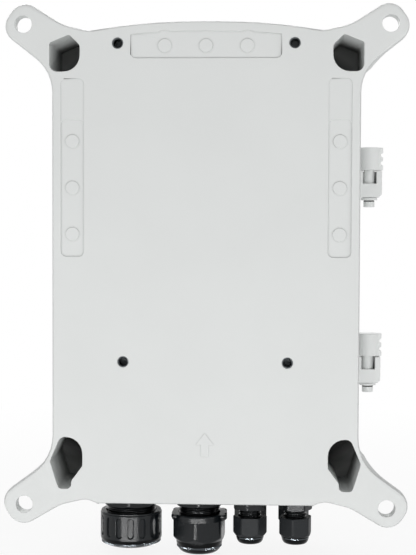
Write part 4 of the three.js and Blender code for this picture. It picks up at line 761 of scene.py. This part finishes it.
# %% Gland bodies
def gland_body(name, size, turn):
    """One ring: down the outer thread in the case, round the hexagon, down the neck and back up the bore."""
    thread, neck_radius, flange_low, pitch = size["thread"], size["neck"], -size["flange"], size["pitch"]
    inside = min(neck_radius - THREAD_DEPTH, thread) - WALL
    past_corners = size["body"] * 0.6
    upper = path_rows([(inside, size["top"]), (thread, size["top"]), (thread, 0)], 0.5)
    side = path_rows([
        (thread + 0.1, 0), (past_corners, -0.05), (past_corners, flange_low), (neck_radius + 0.1, flange_low),
    ], 0.4)
    neck = path_rows([(neck_radius, flange_low), (neck_radius, -size["low"])], 0.2)
    inner = path_rows([(inside, -size["low"]), (inside, size["top"])], 2.0)[:-1]
    bevel = size["body"] / 2 + 1.1
    lower = bevel + (side[:, 1] - flange_low) * 1.6
    higher = bevel + 1.4 - side[:, 1] * 2.0
    limit = np.minimum(lower, higher)[:, None]
    hexed = soft_least(hexagon(angles, size["body"], turn)[None, :], limit, CORNER_EASE)
    most = soft_least(side[:, :1], limit, CORNER_EASE / 2) + 2 * CORNER_EASE
    flange = np.minimum(np.minimum(hexed, side[:, :1]), most)
    grid = np.concatenate([
        around(threaded(upper[:, :1], upper[:, 1], pitch, size["top"], 0), upper[:, 1], COLUMNS),
        around(flange, side[:, 1], COLUMNS),
        around(threaded(neck[:, :1], neck[:, 1], pitch, flange_low, -size["low"]), neck[:, 1], COLUMNS),
        around(inner[:, :1], inner[:, 1], COLUMNS),
    ])
    polish = np.repeat([0.8, 0.1, 0.75, 1], [len(upper), len(side), len(neck), len(inner)])
    piece = skin(f"{name}_threaded_body", [(grid + gland_axis(name, size), True)], polish=polish)
    return dress(piece, "gland_black", "case_body", (f"{name}_body",))


# %% Gland nuts
BAND_TOP_SHARES = {"small": 0.12, "large": 0.4}
BAND_HEIGHTS = {"small": 1.0, "large": 1.6}
BAND_EASE = 0.15
HALF_DOME = 10


def dome_profile(size, start, shoulder):
    """The lower end: a quarter ellipse from the shoulder to the mouth with an upright band round it, then
    the mouth's eased lip. Also gives the share of glint of each row, 1 at the band."""
    kind = "small" if size is SMALL else "large"
    begins = BAND_TOP_SHARES[kind]
    ends = begins + BAND_HEIGHTS[kind] / (size["dome"] - start)
    turn = np.concatenate([
        np.linspace(0, math.asin(begins), HALF_DOME), np.linspace(math.asin(ends), np.pi / 2, HALF_DOME),
    ])
    radius = size["mouth"] + (shoulder - size["mouth"]) * np.cos(turn)
    height = -start - (size["dome"] - start) * np.sin(turn)
    dome = np.stack([radius, height], axis=-1)
    top, foot = dome[HALF_DOME - 1], (radius[HALF_DOME - 1], height[HALF_DOME])
    band = [top - (BAND_EASE, 0), top - (0, BAND_EASE), foot]
    lip = [(size["bore"] + 0.6, -size["dome"]), (size["bore"], -size["dome"] + 0.6)]
    profile = np.concatenate([dome[:HALF_DOME - 1], band, dome[HALF_DOME:], lip])
    glint = np.zeros(len(profile))
    glint[HALF_DOME:HALF_DOME + 2] = 1
    return profile, glint


def nut_inside(size):
    """Up the cable hole, out under the neck, and up to the open top."""
    wide = size["neck"] + 0.5
    shelf = max(-size["nut_low"] + WALL, -size["low"] - 0.3 - 2 * WALL)
    return [(size["bore"], -size["dome"] + WALL), (wide, shelf), (wide, -size["nut_top"] - 0.5)]


def finished_nut(name, size, radius, height, dome, glint, columns):
    """Closes a nut's ring, which runs round its rim, down its side, round its dome and back up inside, and
    gives each row its shares."""
    finer = columns // COLUMNS
    inside = path_rows(nut_inside(size), 1.0)
    grid = np.concatenate([
        around(size["neck"] + 0.5, [-size["nut_top"]], columns),
        around(np.repeat(radius, finer, axis=1), height, columns),
        around(np.repeat(ticked(dome, size), finer, axis=1), dome[:, 1], columns),
        around(inside[:, :1], inside[:, 1], columns),
    ])
    counts = [1, len(height), len(dome), len(inside)]
    shares = {
        "polish": np.repeat([0.5, 0, 0.9, 1], counts),
        "glint": np.concatenate([np.zeros(sum(counts[:2])), glint, np.zeros(counts[3])]),
        "matt": np.repeat([0, size is SMALL, 0, 0], counts),
    }
    piece = skin(f"{name}_clamping_nut", [(grid + gland_axis(name, size), True)], **shares)
    return dress(piece, "gland_black", "case_body", (f"{name}_nut",))


def hex_nut(name, size, turn, collar=None):
    """One ring: down a hexagon that a chamfer limits at both ends, round the dome and back up inside."""
    corner = size["nut"] / 2 / math.cos(math.pi / 6)
    shoulder = size["nut"] / 2 - 0.9
    knee = size["nut_low"] + 0.2
    side = path_rows([(corner + 1, -size["nut_top"] - 0.01), (corner + 1, -knee)], 0.35)
    dome, glint = dome_profile(size, knee, shoulder)
    height = side[:, 1]
    chamfer_low = shoulder + 0.5 + (height + knee) * 0.85
    chamfer_top = corner - 0.7 - (height + size["nut_top"]) * 2.2
    limit = np.minimum(chamfer_low, chamfer_top)[:, None]
    radius = soft_least(hexagon(angles, size["nut"], turn)[None, :], limit, 0.35)
    if collar:
        radius = collar(radius, height)
    return finished_nut(name, size, radius, height, dome, glint, COLUMNS)


TICKS = 60
TICK_DEPTH = 0.6


def ticked(dome, size):
    """The dome's radii, less a wave of the angle on the rows of the band, as a grip for fingers in gloves."""
    band = np.zeros(len(dome))
    band[HALF_DOME - 1:HALF_DOME + 2] = size is not SMALL
    return dome[:, :1] - TICK_DEPTH * band[:, None] * (0.5 + 0.5 * np.cos(TICKS * angles))


COLLAR = dict(radius=22.7, height=5.6, lug_reach=2.0, lug_half=2.6, lugs=6, ease=0.6)


def lugged_collar(radius, height):
    """A round collar over the top of the hexagon, with two lugs at each side that reach out of its upper
    half. A lug's height is a smooth step of the distance to its edge."""
    down, ease, half_pitch = -height - MIDDLE["nut_top"], COLLAR["ease"], np.pi / COLLAR["lugs"]
    off = np.abs(angles % (2 * half_pitch) - half_pitch) * (COLLAR["radius"] + COLLAR["lug_reach"])
    at_sides = np.abs(np.cos(angles)) > 0.5
    lug = COLLAR["lug_reach"] * (smooth((COLLAR["lug_half"] + ease / 2 - off) / ease) * at_sides)[None, :]
    lug = lug * smooth((COLLAR["height"] / 2 + ease / 2 - down) / ease)[:, None]
    ring = COLLAR["radius"] - ease * smooth(1 - down)[:, None] + lug
    reach = smooth((COLLAR["height"] + ease / 3 - down) / (2 * ease / 3))[:, None]
    return np.maximum(radius, ring * reach)


CAP_TURN = 4
CAP_COLUMNS = 2 * COLUMNS
GROOVES = dict(count=16, half=2.55, depth=1.2, end=3.1, ease=0.7)


def ribbed_cap(name, size):
    """A round cap with rounded grooves, each a stadium: a point's depth in it falls with its distance from
    the groove's middle line."""
    groove_half, end, ease, full = GROOVES["half"], GROOVES["end"], GROOVES["ease"], size["nut"] / 2
    side = path_rows([(full, -size["nut_top"] - 0.01), (full, -size["nut_low"] + 1.5)], 0.3)
    height = side[:, 1]
    top_ease = ease * smooth((height + size["nut_top"]) / CORNER_EASE + 2)
    ends = (-size["nut_top"] - end - groove_half, -size["nut_low"] + end + groove_half)
    past = np.maximum(np.maximum(height - ends[0], ends[1] - height), 0)[:, None]
    pitch = 2 * np.pi / GROOVES["count"]
    sideways = np.abs((angles - np.radians(CAP_TURN) + pitch / 2) % pitch - pitch / 2)[None, :] * full
    inside = np.hypot(past, sideways)
    radius = full - top_ease[:, None] - GROOVES["depth"] * smooth((groove_half - inside) / ease)
    dome, glint = dome_profile(size, size["nut_low"] - 1.5, full)
    return finished_nut(name, size, radius, height, dome, glint, CAP_COLUMNS)


# %% Seals and locknuts
def gland_seal(name, size):
    """A rubber ring with a rounded lip where it meets the cable."""
    top, low = -size["low"] - 0.3, -size["dome"] + WALL + 0.4
    wide = size["neck"] - 3.1
    inner = size["bore"] - 0.9
    turn = np.linspace(0, np.pi, 9)
    lip = np.stack([inner + 0.9 - 0.9 * np.sin(turn), low + 0.9 - 0.9 * np.cos(turn)], axis=-1)
    outside = [(inner + 0.4, top), (wide, top), (wide, (top + low) / 2)]
    profile = np.array([(size["bore"] + 0.1, low), *lip[1:], *outside])
    grid = around(profile[:, :1], profile[:, 1], 64)
    piece = skin(f"{name}_rubber_ring", [(grid + gland_axis(name, size), True)], 50)
    return dress(piece, "seal_black", "case_body", (f"{name}_seal",))


def gland_locknut(name, size, lock):
    """A flat hexagon nut with chamfered corners and a round hole."""
    flats, hole, low = 2 * size["thread"] + 4, size["thread"] + 0.3, 3.8
    corner = flats / 2 / math.cos(math.pi / 6)
    side = path_rows([(corner, low), (corner, low + lock)], 0.4)
    edge = np.minimum(side[:, 1] - low, low + lock - side[:, 1])
    limit = (corner - 1.2 + edge * 2.0)[:, None]
    radius = soft_least(hexagon(angles, flats, 30)[None, :], limit, 0.3)
    grid = np.concatenate([
        around(np.full((1, 1), hole), np.array([low]), COLUMNS), around(radius, side[:, 1], COLUMNS),
        around(np.full((1, 1), hole), np.array([low + lock]), COLUMNS),
    ])
    piece = skin(f"{name}_lock_ring", [(grid + gland_axis(name, size), True)])
    return dress(piece, "gland_black", "case_body", (f"{name}_locknut",))


# %% Make all six glands
for name, (body_turn, nut_turn) in BODY_AND_NUT_TURNS.items():
    size = {"gland_middle": MIDDLE, "gland_large": LARGE}.get(name, SMALL)
    gland_body(name, size, body_turn)
    gland_seal(name, size)
    if size is LARGE:
        ribbed_cap(name, size)
        gland_locknut(name, size, 7)
    elif size is MIDDLE:
        hex_nut(name, size, nut_turn, lugged_collar)
        gland_locknut(name, size, 6)
    else:
        hex_nut(name, size, nut_turn)
print("large gland stands at", gland_axis("gland_large", LARGE).round(2))

# %% [markdown]
# ## Leads
# The leads are round insulated wires with soft bends. Each follows the route of its solid: straight runs
# between corners, each corner rounded by a curve. A circle is carried along it, square to the route, and
# its turn about the route is set against one fixed direction.

# %% Carry a circle along a route
LEAD_RADIUS = 2.35
LEAD_BEND = 10.0
LEAD_COLOURS = {
    "output_lead_positive": "lead_red", "output_lead_negative": "lead_black", "earth_lead": "lead_green",
}


def bent_route(corners, steps=8):
    """Corners joined by straight runs, with a quadratic curve (1-t)^2 a + 2t(1-t) b + t^2 c at each bend."""
    corners = np.array(corners, float)
    route = [corners[:1]]
    share = np.linspace(0, 1, steps)[:, None]
    for before, here, after in zip(corners, corners[1:], corners[2:]):
        back, on = before - here, after - here
        reach = min(LEAD_BEND, 0.45 * min(np.linalg.norm(back), np.linalg.norm(on)))
        start = here + back / np.linalg.norm(back) * reach
        stop = here + on / np.linalg.norm(on) * reach
        route.append((1 - share) ** 2 * start + 2 * share * (1 - share) * here + share**2 * stop)
    return np.concatenate([*route, corners[-1:]])


def lead(name, corners):
    """A circle of the lead's radius at each point of the route, square to it: p + r (u cos a + v sin a)."""
    route = bent_route(corners)
    way = np.gradient(route, axis=0)
    way /= np.linalg.norm(way, axis=1)[:, None]
    upright = np.array([0.31, 0.82, 0.48])
    first = np.cross(way, upright)
    first /= np.linalg.norm(first, axis=1)[:, None]
    second = np.cross(way, first)
    angle = np.linspace(0, 2 * np.pi, 24, endpoint=False)[None, :, None]
    ring = first[:, None] * np.cos(angle) + second[:, None] * np.sin(angle)
    grid = route[:, None] + LEAD_RADIUS * ring
    piece = skin(f"{name}_wire", [(grid, False)], 40)
    colour = LEAD_COLOURS[name]
    return dress(piece, colour, "case_body", (name,))


def ends_of(node):
    """The low and the high corner of a node's box, in millimetres."""
    low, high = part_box(node)
    return np.array(low) / MM, np.array(high) / MM


for name in ("output_lead_positive", "output_lead_negative"):
    low, high = ends_of(name)
    depth, middle = (low[1] + high[1]) / 2, (low[2] + high[2]) / 2
    inner, outer = sorted((low[0] + LEAD_RADIUS, high[0] - LEAD_RADIUS), key=abs)
    corners = [(outer, high[2]), (outer, middle), (inner, middle), (inner, low[2])]
    lead(name, [(x, depth, z) for x, z in corners])

EARTH_ENTRY = (0, -44.3)
EARTH_DROP = (82.0, -32.0)
EARTH_START, EARTH_BEND = 97.2, 14.0
BAR_HOLE_DEPTH, EARTH_IN_BAR = 3.5, 3.7
low, high = ends_of("earth_lead")
bar_low, bar_high = ends_of("earth_bar")
bar_y, bar_z = bar_low[1] + BAR_HOLE_DEPTH, (bar_low[2] + bar_high[2]) / 2
crest = high[2] - LEAD_RADIUS
lead("earth_lead", [
    (*EARTH_ENTRY, EARTH_START), (*EARTH_ENTRY, crest),
    (*EARTH_DROP, crest), (*EARTH_DROP, bar_z + EARTH_BEND),
    (EARTH_DROP[0], bar_y, bar_z), (bar_high[0] - EARTH_IN_BAR, bar_y, bar_z),
])
print("three leads")

# %% [markdown]
# ## Threaded inserts and screws
# The blind holes in the back panel hold plated inserts, and screws hold the plate, rails, hinges and wires.
# Both are drawn standing up, with their height along z, and then laid down to face the wall, the door or a
# side. A screw's head is a dome with a cross pressed into it: the height at each point falls where the
# point lies in one of the two bars.


# %% Inserts
def laid(grid, at, way):
    """Lays a standing grid down and moves it. To the wall, (x, y, h) becomes (x, h, -y), to the door
    (x, -h, y), and into the case from its hinge side (h, y, -x)."""
    x, y, h = np.moveaxis(grid, -1, 0)
    turned = {"wall": (x, h, -y), "door": (x, -h, y), "inward": (h, y, -x)}[way]
    return np.stack(turned, axis=-1) + np.array(at)


INSERT = dict(outer=4.35, inner=3.25, front=0.9, back=11.6, drilled=10.4, pitch=1.25, depth=0.45)
INSERT_COLUMNS = 48
PANEL_FACE = -0.6
insert_places = [(68.7, 173.2), (-68.7, 173.2), (64.296, -74.673), (-64.296, -74.673)]


def insert_grid():
    """Up the sleeve's outside, over its mouth and down the thread, whose radius is a wave of the height."""
    outer, inner, front = INSERT["outer"], INSERT["inner"], -INSERT["front"]
    outside = path_rows([
        (outer, -INSERT["back"]), (outer, front - 0.2), (outer - 0.2, front), (inner + 0.6, front),
    ], 2.0)
    thread = path_rows([(inner, front - 0.6), (inner, -INSERT["drilled"])], 0.3)
    angle = np.linspace(0, 2 * np.pi, INSERT_COLUMNS, endpoint=False)
    wave = 0.5 - 0.5 * np.cos(2 * np.pi * thread[:, 1:] / INSERT["pitch"] - angle)
    return np.concatenate([
        around(outside[:, :1], outside[:, 1], INSERT_COLUMNS),
        around(thread[:, :1] + INSERT["depth"] * wave, thread[:, 1], INSERT_COLUMNS),
    ])


shells = [(laid(insert_grid(), (x, PANEL_FACE, z), "wall"), False) for x, z in insert_places]
dress(skin("threaded_inserts", shells), "dark_zinc", "case_body")
print(len(shells), "inserts")


# %% Screws
SCREWS = {
    "plate_screws": dict(radius=4.0, height=2.4, washer=5.2),
    "rail_screws": dict(radius=3.6, height=2.2),
    "terminal_screws": dict(radius=2.5, height=2.4),
    "earth_bar_screws": dict(radius=2.4, height=1.2),
    "hinge_screws": dict(radius=3.2, height=2.0),
}
TURN_BETWEEN_SCREWS = 0.9


def screw_grid(turn, radius, height, washer=0.0, columns=36):
    """A head of radius R and height h on an optional washer. Its rim is 0.4 h high, and over that the dome
    is 0.6 h (1 - (r / R)^3) high, less 0.5 h in the cross."""
    foot = 0.8 if washer else 0.0
    plate = [(washer, 0.0), (washer, foot - 0.1), (washer - 0.2, foot)] if washer else []
    base = np.array([*plate, (radius, foot), (radius, foot + height * 0.4)])
    share = np.linspace(0.97, 0.04, 16)[:, None]
    angle = np.linspace(0, 2 * np.pi, columns, endpoint=False)
    top = base[-1, 1] + height * 0.6 * (1 - share**3)
    along, across = radius * share * np.cos(angle + turn), radius * share * np.sin(angle + turn)
    width, reach = 0.17 * radius, 0.62 * radius
    bars = [smooth((width - np.abs(a)) / 0.2) * smooth((reach - np.abs(b)) / 0.2)
            for a, b in ((along, across), (across, along))]
    top = top - 0.5 * height * np.maximum(*bars)
    flat = np.broadcast_to(radius * share, top.shape)
    dome = np.stack([flat * np.cos(angle), flat * np.sin(angle), top], axis=-1)
    return np.concatenate([around(base[:, :1], base[:, 1], columns), dome])


def screws(name, places, way):
    """One piece of identical screws, each turned a little further than the one before."""
    turns = TURN_BETWEEN_SCREWS * np.arange(len(places))
    shells = [(laid(screw_grid(turn, **SCREWS[name]), at, way), False) for turn, at in zip(turns, places)]
    dress(skin(name, shells), "zinc_steel", "case_body")
    print(len(shells), name)


SIDES = (-1, 1)
plate_low, plate_high = ends_of("mounting_plate")
POST_INSET = 8
plate_places = [
    (side * (plate_high[0] - POST_INSET), plate_low[1], z)
    for side in SIDES for z in (plate_low[2] + POST_INSET, plate_high[2] - POST_INSET)
]
screws("plate_screws", plate_places, "door")

RAIL_WEB_FRONT, RAIL_SCREW_X = -19.6, 72.0
rail_middles = [(ends_of(rail)[0][2] + ends_of(rail)[1][2]) / 2 for rail in ("rail_upper", "rail_lower")]
rail_places = [(side * RAIL_SCREW_X, RAIL_WEB_FRONT, z) for side in SIDES for z in rail_middles]
screws("rail_screws", rail_places, "door")

SCREW_DEPTH, SCREW_INSET, POLE_PITCH = -48.2, 6, 18
terminal_places = []
for device, poles in {
    **{f"fuse_base_{i}": ((0,), (0,)) for i in range(1, 5)},
    "arrester_base": ((0,), (-0.5, 0.5)), "isolator_body": ((-1.5, -0.5, 0.5, 1.5),) * 2,
}.items():
    low, high = ends_of(device)
    middle = (low[0] + high[0]) / 2
    for z, row in ((high[2] - SCREW_INSET, poles[0]), (low[2] + SCREW_INSET, poles[1])):
        terminal_places += [(middle + pole * POLE_PITCH, SCREW_DEPTH, z) for pole in row]
screws("terminal_screws", terminal_places, "door")

WIRE_HOLES = 7
hole_shares = (np.arange(WIRE_HOLES) + 1) / (WIRE_HOLES + 1)
bar_places = [(x, bar_low[1], bar_z) for x in bar_low[0] + hole_shares * (bar_high - bar_low)[0]]
screws("earth_bar_screws", bar_places, "door")

WALL_INSIDE, FOOT_INSET, FOOT_SCREW_DEPTH = -116.5, 5.0, -88.0
foot_places = []
for where in ("upper", "lower"):
    low, high = ends_of(f"hinge_fork_{where}")
    foot_places += [(WALL_INSIDE, FOOT_SCREW_DEPTH, z) for z in (low[2] + FOOT_INSET, high[2] - FOOT_INSET)]
screws("hinge_screws", foot_places, "inward")

# %% [markdown]
# ## Plain marks
# Devices like these carry a few printed signs that anyone may use: the number of each fuse, the pole of each
# cartridge, and on and off beside the switch. They're set in the plain built-in letters, a few hundredths of
# a millimetre thick, as print is.

# %% Print the marks
PRINT_THICKNESS = 0.02
NUMBER_SIZE, SIGN_SIZE, WORD_SIZE = 8.0, 10.0, 5.0


def mark(name, words, size, at, finish, body):
    """Letters that face the door: flat text (x, y, h) becomes (x, -h, y), and then moves to its place."""
    curve = bpy.data.curves.new(name, "FONT")
    curve.body, curve.size = words, size
    curve.align_x, curve.align_y = "CENTER", "CENTER"
    curve.extrude = PRINT_THICKNESS
    holder = bpy.data.objects.new(name, curve)
    scene.collection.objects.link(holder)
    mesh = bpy.data.meshes.new_from_object(holder.evaluated_get(bpy.context.evaluated_depsgraph_get()))
    bpy.data.objects.remove(holder)
    mesh.name = name
    mesh.vertices.foreach_set("co", (laid(read(mesh.vertices, "co", float, 3), at, "door") * MM).ravel())
    piece = bpy.data.objects.new(name, mesh)
    scene.collection.objects.link(piece)
    return dress(piece, finish, body)


CARRIER_GRIP = 3.0
for i in range(1, 5):
    low, high = ends_of(f"fuse_carrier_{i}")
    place = ((low[0] + high[0]) / 2, low[1] + CARRIER_GRIP - PRINT_THICKNESS, (low[2] + high[2]) / 2)
    mark(f"fuse_number_{i}", str(i), NUMBER_SIZE, place, "lead_black", f"fuse_carrier_{i}")
for pole, sign in (("positive", "+"), ("negative", "\u2212")):
    low, high = ends_of(f"arrester_cartridge_{pole}")
    place = ((low[0] + high[0]) / 2, low[1] - PRINT_THICKNESS, (low[2] + high[2]) / 2)
    mark(f"{pole}_sign", sign, SIGN_SIZE, place, "device_grey", f"cartridge_{pole}")
FACE_FRONT = -64.0
ON_ABOVE_KNOB, OFF_FROM_MIDDLE = 4, 25
knob_low, knob_high = ends_of("isolator_knob")
print_y, knob_z = FACE_FRONT - PRINT_THICKNESS, (knob_low[2] + knob_high[2]) / 2
word_places = {
    "on_sign": ("ON", (0, print_y, knob_high[2] + ON_ABOVE_KNOB)),
    "off_sign_left": ("OFF", (-OFF_FROM_MIDDLE, print_y, knob_z)),
    "off_sign_right": ("OFF", (OFF_FROM_MIDDLE, print_y, knob_z)),
}
for name, (word, place) in word_places.items():
    mark(name, word, WORD_SIZE, place, "lead_black", "case_body")
print("marks printed")
